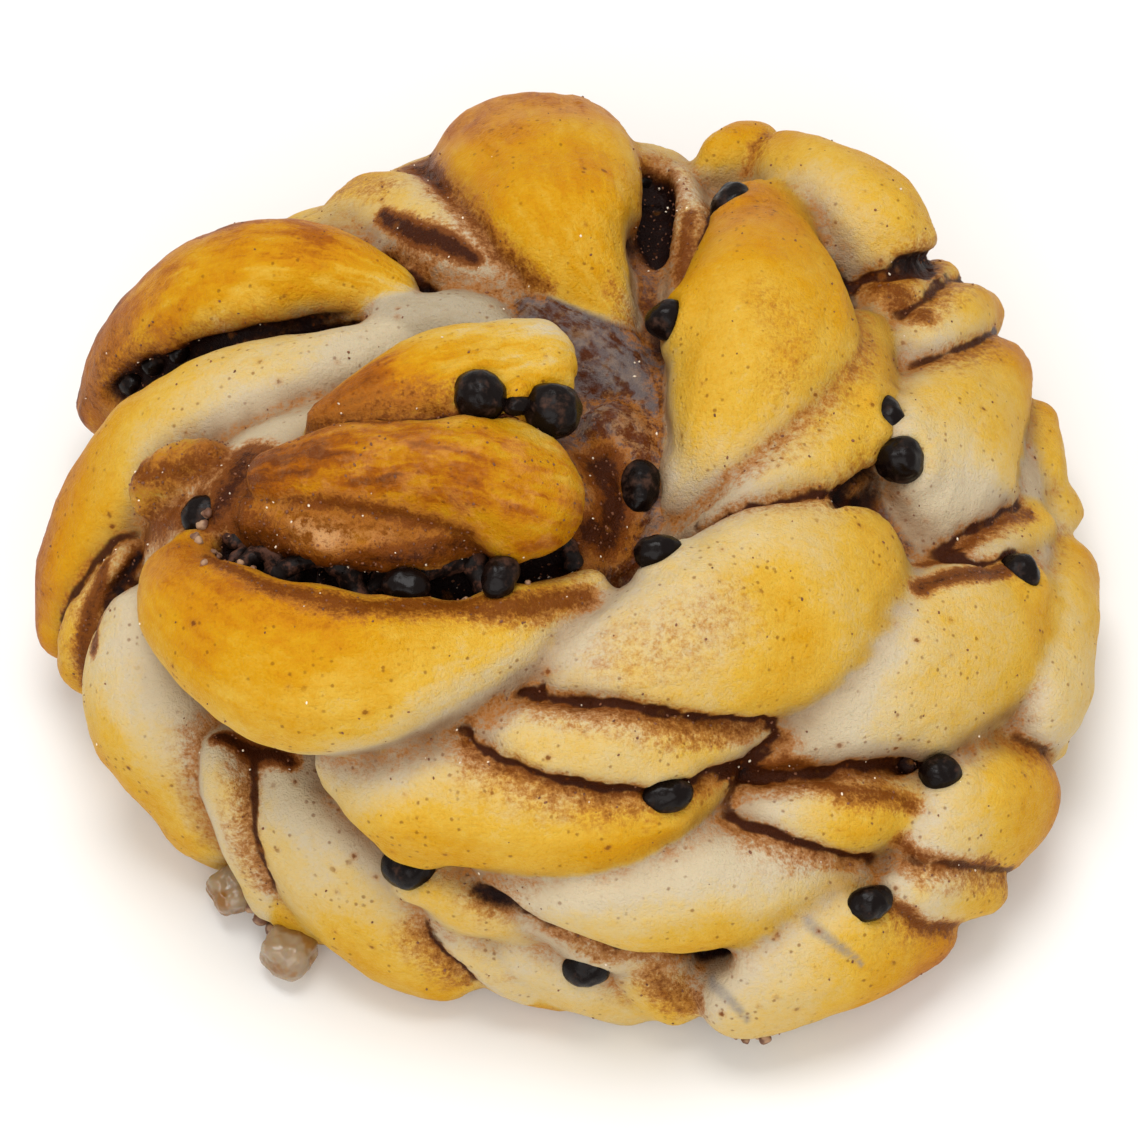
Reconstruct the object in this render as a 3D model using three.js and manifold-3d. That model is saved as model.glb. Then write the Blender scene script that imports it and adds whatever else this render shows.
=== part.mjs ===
// A chocolate bun: a rope of sweet dough, folded in layers over a dark filling, twisted,
// wound into a coil and baked, with its end laid over the top.
// Millimetres, +Z up. The origin lies on the flat underside, below the middle of the bun.
// The twist shows as folds. Each one is a closed swept body that runs outwards and down
// along the coil: broad where the face of a layer shows, narrow where a layer's edge does.
import * as THREE from 'three'
import Module from 'manifold-3d'
import { mergeVertices } from 'three/addons/utils/BufferGeometryUtils.js'

const wasm = await Module()
wasm.setup()

// The bun is a little wider than it is deep.
const WIDENING = 1.02
// The dough below the folds: a low dome whose foot curls in to the tray, and a mound
// that carries the rope's end.
const CORE = { halfWidth: 48, halfLength: 43.5, height: 29, fullness: 3, footHeight: 9, footInset: 4 }
const CORE_SIDES = 32
const FOOT_STEPS = 3
const DOME_STEPS = 7
const MOUND = { turn: 148, radius: 19, height: 24, halfWidth: 24, halfLength: 17, halfHeight: 16 }

// A fold's cross-section is a rounded block, FOLD_DEPTH plus a share of its width deep.
const FOLD_DEPTH = 8
const DEPTH_PER_WIDTH = 0.4
const SECTION_POWER = 2.3
const BROAD_SECTION_POINTS = 10
const NARROW_SECTION_POINTS = 8
const NARROW_BELOW = 9
const END_ROUNDING = 0.6
const RING_SPACING = 6
const END_RINGS = 3
const TANGENT_STEP = 0.01
const CURVE_TENSION = 0.5
// Points of one geometry nearer to each other than this are one point.
const SAME_POINT = 1e-4
// Where folds cross, edges shorter than this are merged away. A face lower than FLAT is
// turned with its neighbour, so that every face has a height.
const SLIVER = 0.05
const FLAT = 0.002
// A fold faces away from this height on the bun's axis, and more upwards than outwards.
const FACING_HEIGHT = -7
const UPWARD_BIAS = 1.35

// The crest of each fold, from its inner end to its outer end, as [turn, radius, height,
// width]. The turn is in degrees, clockwise seen from above: 0 is right, 90 is near,
// 180 is left and 270 is far.
const UPPER_COIL = {
  backFan: [
    [299, 14, 30, 4], [282, 17, 33, 10], [270, 25, 36, 16], [265.5, 38.5, 31, 21], [264.5, 52, 18, 20],
  ],
  rightFace: [
    [46, 14, 30, 3], [13, 15, 37, 11], [335, 22, 39, 18.5], [316, 29, 36, 16], [299, 40, 26, 5],
  ],
  rightEdge: [
    [58, 14, 29, 3], [34, 19, 35, 7], [10, 24, 35, 10.5], [346, 29, 32, 10], [328, 35, 26, 5],
  ],
  nearFace: [
    [107, 30, 31, 3.5], [89, 29.8, 37, 10], [66, 29.8, 39, 17], [41, 31, 37, 19.5], [14, 34, 30, 15],
  ],
  nearEdge: [[113, 33, 32, 3.5], [96, 36, 35, 8], [78, 37, 34, 8.5], [54, 36, 27, 4]],
  lowerFace: [
    [128, 40, 26, 5], [114, 42, 30, 13], [99, 42, 31, 13], [82, 42, 29, 9.5], [64, 37, 26, 3.5],
  ],
}
const ROPE_END = {
  farFold: [
    [169, 26, 41, 3], [168, 17, 46, 10.5], [168, 9, 47, 14], [200, 1.5, 46, 12], [340, 3, 42.5, 7],
  ],
  crown: [
    [161, 32.5, 41, 5], [151, 25.3, 46, 9.5], [130, 18, 49, 9.2], [102, 16.1, 48, 11.2], [75, 15.5, 42.5, 10.5],
  ],
  stainedFace: [
    [159, 34, 38, 5], [144, 28, 43, 9.5], [129, 22.5, 43.5, 9], [113, 17.6, 41.5, 6.5], [95, 15, 40, 4],
  ],
  nearLoop: [
    [163, 39.5, 33, 7.5], [150, 43, 38, 11.5], [134, 42.3, 41, 15.5], [122, 37.8, 42, 15.5],
    [109, 31, 41, 11.5], [96, 24.3, 39, 8], [76, 18.6, 36, 3.5],
  ],
  pocketLip: [[168, 42, 29, 3], [171, 41, 33, 4.5], [172, 37, 36, 5], [171, 32, 37, 3]],
}
const CENTRAL_PIT = {
  farWall: [[255, 18, 32, 6], [280, 12, 32, 10], [314, 10, 31, 9], [358, 9, 31, 7], [35, 12, 30, 4]],
  floor: [[298, 4, 33, 6], [6, 5, 33, 9], [52, 10, 31, 9], [81, 17, 32, 6]],
}
const OUTER_COIL = {
  farKnuckle: [[288, 40, 24, 4.5], [292, 46.5, 22.5, 8], [295, 50.5, 18, 6.5]],
  farEdge: [[285, 41, 22, 5], [294, 30, 29, 5], [306, 19, 31, 3.5]],
  farRightFace: [[294, 47.5, 21.5, 6], [305, 46.5, 26, 13], [316, 45.5, 28, 14], [322, 47, 21, 7]],
  farRightEdge: [[332, 34, 25, 3.5], [327, 39, 26, 7], [322, 49, 17, 6]],
  rightStrip: [[344, 32, 24, 3.5], [336, 38, 26, 7.5], [330, 46.3, 21, 7.5], [327, 51.2, 13, 5]],
  rightFace: [[17, 35, 22, 4], [7, 37, 26, 14], [355, 39.5, 27, 17.5], [334, 50.3, 16, 7]],
  rightEdge: [[22, 36, 22, 3.5], [14, 40, 24, 6], [358, 48, 15, 5]],
  nearRightFace: [
    [65, 37, 25, 3.5], [50, 39, 28, 11], [36, 42, 28, 17], [22, 46, 23, 16.5], [10, 49, 15, 9],
  ],
  nearRightEdge: [[72, 38, 24, 3.5], [60, 44, 24, 7], [51, 47, 21, 8.5], [40, 48, 15, 6]],
  nearFace: [[103, 43, 20, 3], [89, 47, 23, 8.5], [75, 48, 22, 13], [62, 48, 19, 10], [48, 48, 13, 5]],
  nearEdge: [[105, 43, 19, 3], [92, 46, 17, 4.5], [82, 48, 13, 4.5], [75, 48, 10, 3.5]],
  nearLeftEdge: [[113, 44, 18, 3.5], [101, 46, 18, 7], [86, 45, 11, 5]],
  leftSweep: [
    [219, 18, 33, 5], [201, 24.5, 34.5, 9.5], [189.5, 34, 33, 13.5], [182, 44, 27, 14.5],
    [174.5, 50, 17.5, 12], [168, 52.5, 7, 5],
  ],
  farLeftSweep: [
    [230, 21, 33, 5], [219, 33, 34.5, 12], [211, 43.2, 29.5, 14], [204.5, 50.2, 17.5, 12], [200, 52, 6, 6],
  ],
  innerSliver: [[215, 24, 33, 4], [230, 17, 34, 10], [255, 12, 32, 7]],
  farLeftEdge: [[264, 17, 31, 4.5], [244, 26, 33, 9], [240, 38, 27, 12], [236, 44, 21, 9]],
  farLeftPocket: [[236, 28, 29, 6], [228, 38, 26, 12], [222, 44.5, 17, 10]],
  farPocket: [[262, 30, 26, 6], [253, 40, 22, 12], [247, 44.5, 14, 10]],
  rightPocket: [[22, 43, 19, 5], [8, 45.5, 17, 10], [350, 46.5, 12, 8]],
}
const LOWEST_COIL = {
  rightFace: [[31, 50, 17, 4], [24, 52, 17, 11], [11, 51, 14, 12], [358, 51, 9, 7]],
  rightKnuckle: [[1, 46, 15, 5], [351, 52, 8, 7]],
  rightLump: [[354, 48, 14, 5], [347, 49, 13, 7], [339, 51, 11, 6]],
  rightSliver: [[32, 49, 16, 3.5], [23, 53, 8, 4.5]],
  nearRightFace: [[52, 50, 18, 3.5], [45, 52, 18, 10.5], [37, 54, 14, 14], [29, 55, 7, 10]],
  nearRightEdge: [[56, 50, 16, 3.5], [50, 54, 15, 8], [40, 56, 6, 7]],
  nearFace: [[78, 50, 9, 6], [72, 54, 10, 13.5], [60, 55, 12, 15], [47, 56, 5, 7]],
  nearEdge: [[84, 48, 12, 4.5], [79, 50, 8, 8], [75, 51, 3, 7]],
  nearKnuckle: [[99, 46, 14, 4.5], [89, 48, 9, 10], [79, 49, 1, 6.5]],
  nearSliver: [[108, 45, 15, 3.5], [100, 47, 11, 6.5], [92, 48, 3, 6.5]],
  nearLeftFace: [
    [136, 41, 22, 4], [126, 45, 19, 11.5], [116, 47, 13, 16], [107, 48, 8, 14.5], [99, 47, 2, 9],
  ],
  nearLeftEdge: [[141, 43, 23, 3.5], [134, 47, 19, 7], [126, 48, 2, 6]],
  leftFace: [
    [163, 43, 26, 5], [156, 47, 23, 13], [148, 50, 18, 16], [142, 49, 11, 13.5], [137, 48, 3, 7],
  ],
  leftEdge: [[170, 42, 25, 3.5], [165, 49, 18, 7], [163, 51.5, 8, 6]],
}

// The lowest coil behind, where folds of two widths take turns.
const FAR_SIDE = { folds: 10, firstTurn: 189, turnStep: 16, even: 9, odd: 15 }
// One of them, from its inner end: [turn ahead, radius, height, share of the width].
const FAR_FOLD = [[22, 38, 22, 0.35], [12, 43, 20, 1], [2, 46.5, 12, 1], [-8, 47, 2, 0.7]]
// The foot of the coil on the other sides, mostly covered by the folds above it.
const NEAR_SIDE = { folds: 14, firstTurn: -16, turnStep: 16, even: 14, odd: 10 }
const FOOT_FOLD = [[12, 43, 11, 0.5], [0, 47, 8, 1], [-10, 46.5, 1, 0.7]]

// Chocolate pearls baked into the dough, as [turn, radius, height, diameter].
const PEARLS = [
  [144, 10, 46.5, 5], [103, 6.6, 45, 5.5], [125, 8, 46, 2.6], [43, 9, 31.5, 4.6], [311, 14, 35, 4],
  [65, 19, 38, 4], [281, 38, 20.5, 3.5], [299, 32, 30, 4.2], [355, 30, 30.5, 3.5], [4, 31, 30, 4.6],
  [13, 43.5, 22, 4], [77, 39.5, 29, 4], [42, 48, 21, 3.6], [57, 51, 16.5, 3.8], [110, 43, 19.5, 4.6],
  [88, 47, 11.5, 4.2], [162, 35.5, 34, 4.2], [124, 26.5, 39.5, 3], [106, 23, 41, 3.5],
  [246, 44, 10, 4.2], [276, 46, 10, 4],
]
// Two drops of caramelised sugar at the foot of the bun.
const SUGAR_DROPS = [[132.5, 46.3, 2.5, 5.2], [123, 48.5, 2.6, 5.8]]
const BEAD_FACES = [7, 4]
const MOUND_FACES = [16, 10]

// A point of the crest in Cartesian form.
function place(turn, radius, height) {
  const angle = THREE.MathUtils.degToRad(turn)
  return new THREE.Vector3(WIDENING * radius * Math.cos(angle), -radius * Math.sin(angle), height)
}

// A closed geometry as a solid that can be joined and cut.
function solid(geometry) {
  geometry.deleteAttribute('normal')
  geometry.deleteAttribute('uv')
  const merged = mergeVertices(geometry, SAME_POINT)
  const vertProperties = new Float32Array(merged.getAttribute('position').array)
  const triVerts = new Uint32Array(merged.index.array)
  return new wasm.Manifold(new wasm.Mesh({ numProp: 3, vertProperties, triVerts }))
}

// How much of its full section a fold has at a distance from its nearer end.
function endShare(distance, endWidth) {
  const reach = Math.min(distance / (END_ROUNDING * endWidth), 1)
  return Math.sqrt(1 - (1 - reach) ** 2)
}

// The ring of points round one place on the crest. The crest is the top of the section.
function ring(crest, along, width, share, sides) {
  const up = crest.clone()
  up.z = up.z * UPWARD_BIAS - FACING_HEIGHT
  up.addScaledVector(along, -up.dot(along)).normalize()
  const across = new THREE.Vector3().crossVectors(along, up)
  const depth = FOLD_DEPTH + DEPTH_PER_WIDTH * width
  const middle = crest.clone().addScaledVector(up, -depth / 2)
  const points = []
  for (let i = 0; i < sides; i++) {
    const angle = (i / sides) * 2 * Math.PI
    const c = Math.cos(angle)
    const s = Math.sin(angle)
    const sum = Math.abs(c) ** SECTION_POWER + Math.abs(s) ** SECTION_POWER
    const size = share * sum ** (-1 / SECTION_POWER)
    const point = middle.clone()
    point.addScaledVector(across, (size * c * width) / 2)
    point.addScaledVector(up, (size * s * depth) / 2)
    points.push(point)
  }
  return { middle, points }
}

// One fold: rings along a smooth crest line, closed by a point at each end.
function fold(path) {
  const crest = new THREE.CatmullRomCurve3(
    path.map(([turn, radius, height]) => place(turn, radius, height)),
    false,
    'catmullrom',
    CURVE_TENSION,
  )
  const girth = new THREE.SplineCurve(path.map((knot, i) => new THREE.Vector2(i, knot[3])))
  const length = crest.getLength()
  const rings = Math.round(length / RING_SPACING) + END_RINGS
  const widest = Math.max(...path.map((knot) => knot[3]))
  const sides = widest < NARROW_BELOW ? NARROW_SECTION_POINTS : BROAD_SECTION_POINTS
  const vertices = []
  const faces = []
  const at = (station) => {
    const t = (1 - Math.cos((station / rings) * Math.PI)) / 2
    const before = crest.getPoint(Math.max(t - TANGENT_STEP, 0))
    const after = crest.getPoint(Math.min(t + TANGENT_STEP, 1))
    const along = after.sub(before).normalize()
    const endWidth = path[t < 0.5 ? 0 : path.length - 1][3]
    const distance = Math.min(t, 1 - t) * length
    return ring(crest.getPoint(t), along, girth.getPoint(t).y, endShare(distance, endWidth), sides)
  }
  vertices.push(at(0).middle)
  for (let station = 1; station < rings; station++) {
    vertices.push(...at(station).points)
  }
  vertices.push(at(rings).middle)
  const last = vertices.length - 1
  const lastRing = last - sides
  for (let i = 0; i < sides; i++) {
    const next = (i + 1) % sides
    faces.push(0, 1 + i, 1 + next)
    faces.push(last, lastRing + next, lastRing + i)
    for (let start = 1; start < lastRing; start += sides) {
      const beyond = start + sides
      faces.push(start + i, beyond + next, start + next)
      faces.push(start + i, beyond + i, beyond + next)
    }
  }
  const geometry = new THREE.BufferGeometry().setFromPoints(vertices)
  geometry.setIndex(faces)
  return solid(geometry)
}

// Like folds spaced evenly round part of the bun, by turns of one width and another.
function row(side, shape) {
  const paths = []
  for (let i = 0; i < side.folds; i++) {
    const turn = side.firstTurn + i * side.turnStep
    const width = i % 2 === 0 ? side.even : side.odd
    const path = shape.map(([ahead, radius, height, share]) => {
      return [turn + ahead, radius, height, width * share]
    })
    paths.push(path)
  }
  return paths
}

// The dome below the folds, turned about the axis and made slightly oval.
function core() {
  const profile = [new THREE.Vector2(0, 0)]
  for (let i = 0; i < FOOT_STEPS; i++) {
    const angle = (i / FOOT_STEPS) * (Math.PI / 2)
    const radius = CORE.halfWidth - CORE.footInset * (1 - Math.sin(angle))
    profile.push(new THREE.Vector2(radius, CORE.footHeight * (1 - Math.cos(angle))))
  }
  for (let i = 0; i <= DOME_STEPS; i++) {
    const reach = Math.cos((i / DOME_STEPS) * (Math.PI / 2))
    const rise = (CORE.height - CORE.footHeight) * Math.sqrt(1 - reach ** CORE.fullness)
    profile.push(new THREE.Vector2(CORE.halfWidth * reach, CORE.footHeight + rise))
  }
  const geometry = new THREE.LatheGeometry(profile, CORE_SIDES)
  geometry.rotateX(Math.PI / 2)
  geometry.scale(1, CORE.halfLength / CORE.halfWidth, 1)
  return solid(geometry)
}

// The mound under the rope's end.
function mound() {
  const geometry = new THREE.SphereGeometry(1, ...MOUND_FACES)
  geometry.scale(MOUND.halfWidth, MOUND.halfLength, MOUND.halfHeight)
  geometry.translate(...place(MOUND.turn, MOUND.radius, MOUND.height))
  return solid(geometry)
}

// A small ball, as a pearl or a drop of sugar.
function bead([turn, radius, height, diameter]) {
  const geometry = new THREE.SphereGeometry(diameter / 2, ...BEAD_FACES)
  geometry.translate(...place(turn, radius, height))
  return solid(geometry)
}

// Everything below the underside, to be cut away.
function belowTheBun() {
  const side = 4 * CORE.halfWidth
  const geometry = new THREE.BoxGeometry(side, side, side)
  geometry.translate(0, 0, -side / 2)
  return solid(geometry)
}

function bunSolid() {
  const groups = [UPPER_COIL, ROPE_END, CENTRAL_PIT, OUTER_COIL, LOWEST_COIL]
  const paths = groups.flatMap((group) => Object.values(group))
  paths.push(...row(FAR_SIDE, FAR_FOLD), ...row(NEAR_SIDE, FOOT_FOLD))
  let bun = core().add(mound())
  for (const path of paths) {
    bun = bun.add(fold(path))
  }
  for (const ball of [...PEARLS, ...SUGAR_DROPS]) {
    bun = bun.add(bead(ball))
  }
  bun = bun.subtract(belowTheBun()).asOriginal().simplify(SLIVER)
  // The outer skin alone: a pocket that the folds close in is dough.
  return bun.decompose().sort((a, b) => b.volume() - a.volume())[0]
}

// The height of a face over its longest edge, with that edge first in the order given.
function heightOf(corners, points) {
  const [a, b, c] = corners.map((i) => new THREE.Vector3().fromArray(points, 3 * i))
  const longest = Math.max(a.distanceTo(b), b.distanceTo(c), c.distanceTo(a))
  const area = new THREE.Triangle(a, b, c).getArea()
  const first = [[a, b], [b, c], [c, a]].findIndex(([p, q]) => p.distanceTo(q) === longest)
  const order = [0, 1, 2].map((i) => corners[(first + i) % 3])
  return { height: (2 * area) / longest, order }
}

// A face without height has its middle point on its long edge. That edge is turned to
// join the point to the far corner of the face on the other side.
function turnFlatFaces(faces, points) {
  const corners = []
  const owner = new Map()
  const edges = (face) => corners[face].map((a, i) => a + '>' + corners[face][(i + 1) % 3])
  for (let i = 0; i < faces.length; i += 3) {
    const face = corners.push([faces[i], faces[i + 1], faces[i + 2]]) - 1
    edges(face).forEach((edge) => owner.set(edge, face))
  }
  for (let flat = 0; flat < corners.length; flat++) {
    const { height, order: [a, b, middle] } = heightOf(corners[flat], points)
    const other = owner.get(b + '>' + a)
    const far = corners[other].find((i) => i !== a && i !== b)
    const halves = [[a, far, middle], [far, b, middle]]
    const gained = Math.min(...halves.map((half) => heightOf(half, points).height))
    const joined = owner.has(far + '>' + middle) || owner.has(middle + '>' + far)
    if (height < FLAT && gained > height && !joined) {
      for (const face of [flat, other]) {
        edges(face).forEach((edge) => owner.delete(edge))
      }
      corners[flat] = halves[0]
      corners[other] = halves[1]
      for (const face of [flat, other]) {
        edges(face).forEach((edge) => owner.set(edge, face))
      }
    }
  }
  return corners.flat()
}

function bunGeometry() {
  const mesh = bunSolid().getMesh()
  const geometry = new THREE.BufferGeometry()
  geometry.setAttribute('position', new THREE.BufferAttribute(mesh.vertProperties, mesh.numProp))
  geometry.setIndex(turnFlatFaces(mesh.triVerts, mesh.vertProperties))
  geometry.computeVertexNormals()
  return geometry
}

const crust = new THREE.MeshStandardMaterial({ color: '#d8a23c', roughness: 0.5, metalness: 0 })
const bun = new THREE.Mesh(bunGeometry(), crust)
bun.name = 'bun'

const part = new THREE.Group()
part.add(bun)

export default part
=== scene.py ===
import math

import bmesh
import bpy
import numpy as np
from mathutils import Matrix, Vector, noise
from mathutils.bvhtree import BVHTree
from mathutils.kdtree import KDTree


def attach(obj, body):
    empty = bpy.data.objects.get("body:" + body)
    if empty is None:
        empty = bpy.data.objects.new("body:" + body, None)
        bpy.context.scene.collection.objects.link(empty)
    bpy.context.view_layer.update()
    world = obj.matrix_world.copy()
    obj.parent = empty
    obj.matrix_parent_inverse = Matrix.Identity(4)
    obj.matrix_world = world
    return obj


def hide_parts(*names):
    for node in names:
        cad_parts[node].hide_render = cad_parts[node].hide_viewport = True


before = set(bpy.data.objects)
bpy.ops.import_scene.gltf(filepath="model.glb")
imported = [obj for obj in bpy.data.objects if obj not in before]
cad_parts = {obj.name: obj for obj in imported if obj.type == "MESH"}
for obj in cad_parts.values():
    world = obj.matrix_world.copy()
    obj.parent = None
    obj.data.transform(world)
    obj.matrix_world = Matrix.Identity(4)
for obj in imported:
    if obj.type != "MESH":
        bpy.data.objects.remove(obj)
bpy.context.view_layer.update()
MM = 0.001

# The viewpoint: a long lens well above the near side of the bun, looking down on it.
LOOKING_DOWN = math.radians(58)
CAMERA_DISTANCE = 600 * MM
AIM = Vector((0, 0, 7)) * MM
FIELD_WIDTH = 112.4 * MM

camera = bpy.data.objects.new("camera", bpy.data.cameras.new("camera"))
camera.data.lens = camera.data.sensor_width * CAMERA_DISTANCE / FIELD_WIDTH
camera.data.clip_start = 10 * MM
to_camera = Vector((0, -math.cos(LOOKING_DOWN), math.sin(LOOKING_DOWN)))
camera.location = AIM + CAMERA_DISTANCE * to_camera
camera.rotation_euler = (math.pi / 2 - LOOKING_DOWN, 0, 0)
bpy.context.collection.objects.link(camera)
bpy.context.scene.camera = camera

# The dough: a rope of sweet dough, folded in layers over a filling, twisted, wound into a
# coil and baked with its end laid over the top. Each layer shows as a fold that runs
# outwards and down: broad where its face shows and narrow where its cut edge does.
# A fold's crest is a list of (turn, radius, height, width) from its inner end, in degrees
# clockwise seen from above, from the right, and in millimetres.
UPPER_COIL = {
    "back fan": [
        (299, 14, 30, 4), (282, 17, 33, 10), (270, 25, 36, 16), (265.5, 38.5, 31, 21),
        (264.5, 52, 18, 20),
    ],
    "right face": [
        (46, 14, 30, 3), (13, 15, 37, 11), (335, 22, 39, 18.5), (316, 29, 36, 16), (299, 40, 26, 5),
    ],
    "right edge": [
        (58, 14, 29, 3), (34, 19, 35, 7), (10, 24, 35, 10.5), (346, 29, 32, 10), (328, 35, 26, 5),
    ],
    "near face": [
        (107, 30, 31, 3.5), (89, 29.8, 37, 10), (66, 29.8, 39, 17), (41, 31, 37, 19.5),
        (14, 34, 30, 15),
    ],
    "near edge": [(113, 33, 32, 3.5), (96, 36, 35, 8), (78, 37, 34, 8.5), (54, 36, 27, 4)],
    "lower face": [
        (128, 40, 26, 5), (114, 42, 30, 13), (99, 42, 31, 13), (82, 42, 29, 9.5), (64, 37, 26, 3.5),
    ],
}
ROPE_END = {
    "crown": [
        (161, 32.5, 41, 5), (151, 25.3, 46, 9.5), (130, 18, 49, 9.2), (102, 16.1, 48, 11.2),
        (75, 15.5, 42.5, 10.5),
    ],
    "stained face": [
        (159, 34, 38, 5), (144, 28, 43, 9.5), (129, 22.5, 43.5, 9), (113, 17.6, 41.5, 6.5),
        (95, 15, 40, 4),
    ],
    "far fold": [
        (169, 26, 41, 3), (168, 17, 46, 10.5), (168, 9, 47, 14), (200, 1.5, 46, 12), (340, 3, 42.5, 7),
    ],
    "near loop": [
        (163, 39.5, 33, 7.5), (150, 43, 38, 11.5), (134, 42.3, 41, 15.5), (122, 37.8, 42, 15.5),
        (109, 31, 41, 11.5), (96, 24.3, 39, 8), (76, 18.6, 36, 3.5),
    ],
    "pocket lip": [(168, 42, 29, 3), (171, 41, 33, 4.5), (172, 37, 36, 5), (171, 32, 37, 3)],
}
CENTRAL_PIT = {
    "pit wall": [
        (255, 18, 32, 6), (280, 12, 32, 10), (314, 10, 31, 9), (358, 9, 31, 7), (35, 12, 30, 4),
    ],
    "pit floor": [(298, 4, 33, 6), (6, 5, 33, 9), (52, 10, 31, 9), (81, 17, 32, 6)],
}
OUTER_COIL = {
    "far knuckle": [(288, 40, 24, 4.5), (292, 46.5, 22.5, 8), (295, 50.5, 18, 6.5)],
    "far edge": [(285, 41, 22, 5), (294, 30, 29, 5), (306, 19, 31, 3.5)],
    "far right face": [
        (294, 47.5, 21.5, 6), (305, 46.5, 26, 13), (316, 45.5, 28, 14), (322, 47, 21, 7),
    ],
    "far right edge": [(332, 34, 25, 3.5), (327, 39, 26, 7), (322, 49, 17, 6)],
    "right strip": [(344, 32, 24, 3.5), (336, 38, 26, 7.5), (330, 46.3, 21, 7.5), (327, 51.2, 13, 5)],
    "outer right face": [(17, 35, 22, 4), (7, 37, 26, 14), (355, 39.5, 27, 17.5), (334, 50.3, 16, 7)],
    "outer right edge": [(22, 36, 22, 3.5), (14, 40, 24, 6), (358, 48, 15, 5)],
    "near right face": [
        (65, 37, 25, 3.5), (50, 39, 28, 11), (36, 42, 28, 17), (22, 46, 23, 16.5), (10, 49, 15, 9),
    ],
    "near right edge": [(72, 38, 24, 3.5), (60, 44, 24, 7), (51, 47, 21, 8.5), (40, 48, 15, 6)],
    "outer near face": [
        (103, 43, 20, 3), (89, 47, 23, 8.5), (75, 48, 22, 13), (62, 48, 19, 10), (48, 48, 13, 5),
    ],
    "outer near edge": [(105, 43, 19, 3), (92, 46, 17, 4.5), (82, 48, 13, 4.5), (75, 48, 10, 3.5)],
    "outer near left edge": [(113, 44, 18, 3.5), (101, 46, 18, 7), (86, 45, 11, 5)],
    "left sweep": [
        (219, 18, 33, 5), (201, 24.5, 34.5, 9.5), (189.5, 34, 33, 13.5), (182, 44, 27, 14.5),
        (174.5, 50, 17.5, 12), (168, 52.5, 7, 5),
    ],
    "far left sweep": [
        (230, 21, 33, 5), (219, 33, 34.5, 12), (211, 43.2, 29.5, 14), (204.5, 50.2, 17.5, 12),
        (200, 52, 6, 6),
    ],
    "inner sliver": [(215, 24, 33, 4), (230, 17, 34, 10), (255, 12, 32, 7)],
    "far left edge": [(264, 17, 31, 4.5), (244, 26, 33, 9), (240, 38, 27, 12), (236, 44, 21, 9)],
    "far left pocket": [(236, 28, 29, 6), (228, 38, 26, 12), (222, 44.5, 17, 10)],
    "far pocket": [(262, 30, 26, 6), (253, 40, 22, 12), (247, 44.5, 14, 10)],
    "right pocket": [(22, 43, 19, 5), (8, 45.5, 17, 10), (350, 46.5, 12, 8)],
}
LOWEST_COIL = {
    "low right face": [(31, 50, 17, 4), (24, 52, 17, 11), (11, 51, 14, 12), (358, 51, 9, 7)],
    "low right knuckle": [(1, 46, 15, 5), (351, 52, 8, 7)],
    "low right lump": [(354, 48, 14, 5), (347, 49, 13, 7), (339, 51, 11, 6)],
    "low right sliver": [(32, 49, 16, 3.5), (23, 53, 8, 4.5)],
    "low near right face": [(52, 50, 18, 3.5), (45, 52, 18, 10.5), (37, 54, 14, 14), (29, 55, 7, 10)],
    "low near right edge": [(56, 50, 16, 3.5), (50, 54, 15, 8), (40, 56, 6, 7)],
    "low near face": [(78, 50, 9, 6), (72, 54, 10, 13.5), (60, 55, 12, 15), (47, 56, 5, 7)],
    "low near edge": [(84, 48, 12, 4.5), (79, 50, 8, 8), (75, 51, 3, 7)],
    "low near knuckle": [(99, 46, 14, 4.5), (89, 48, 9, 10), (79, 49, 1, 6.5)],
    "low near sliver": [(108, 45, 15, 3.5), (100, 47, 11, 6.5), (92, 48, 3, 6.5)],
    "low near left face": [
        (136, 41, 22, 4), (126, 45, 19, 11.5), (116, 47, 13, 16), (107, 48, 8, 14.5), (99, 47, 2, 9),
    ],
    "low near left edge": [(141, 43, 23, 3.5), (134, 47, 19, 7), (126, 48, 2, 6)],
    "low left face": [
        (163, 43, 26, 5), (156, 47, 23, 13), (148, 50, 18, 16), (142, 49, 11, 13.5), (137, 48, 3, 7),
    ],
    "low left edge": [(170, 42, 25, 3.5), (165, 49, 18, 7), (163, 51.5, 8, 6)],
}
# Rows of like folds: (how many, first turn, turn between them, their two widths), and one
# fold of the row as (turn ahead, radius, height, share of the width).
FAR_ROW = (10, 189, 16, (9, 15)), [
    (22, 38, 22, 0.35), (12, 43, 20, 1), (2, 46.5, 12, 1), (-8, 47, 2, 0.7),
]
FOOT_ROW = (14, -16, 16, (14, 10)), [(12, 43, 11, 0.5), (0, 47, 8, 1), (-10, 46.5, 1, 0.7)]
# A fold's section is a rounded block, FOLD_DEPTH plus a share of its width deep. It faces away
# from FACING_HEIGHT on the bun's axis, and more upwards than outwards.
FOLD_DEPTH, DEPTH_PER_WIDTH, SECTION_POWER, END_ROUNDING = 8, 0.4, 2.3, 0.6
FACING_HEIGHT, UPWARD_BIAS, WIDENING = -7, 1.35, 1.02
STATIONS, SECTION_POINTS = 84, 36
# Below the folds lie a low dome whose foot curls in, and a mound that carries the rope's end.
DOME_WIDTH, DOME_LENGTH, DOME_HEIGHT, DOME_FULLNESS, FOOT_HEIGHT, FOOT_INSET = 48, 43.5, 29, 3, 9, 4
MOUND_AT, MOUND_WIDTH, MOUND_LENGTH, MOUND_HEIGHT = (148, 19, 24), 24, 17, 16
DOME_RINGS, FOOT_RINGS, ROUND_SIDES = 40, 8, 96
VOXEL = 0.63 * MM
SKIN_ROUNDS, BORDER_ROUNDS = 3, 12


def place(turn, radius, height):
    """A point in millimetres, from its turn, radius and height."""
    angle = np.radians(turn)
    return np.stack([WIDENING * radius * np.cos(angle), -radius * np.sin(angle), height], -1)


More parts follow.
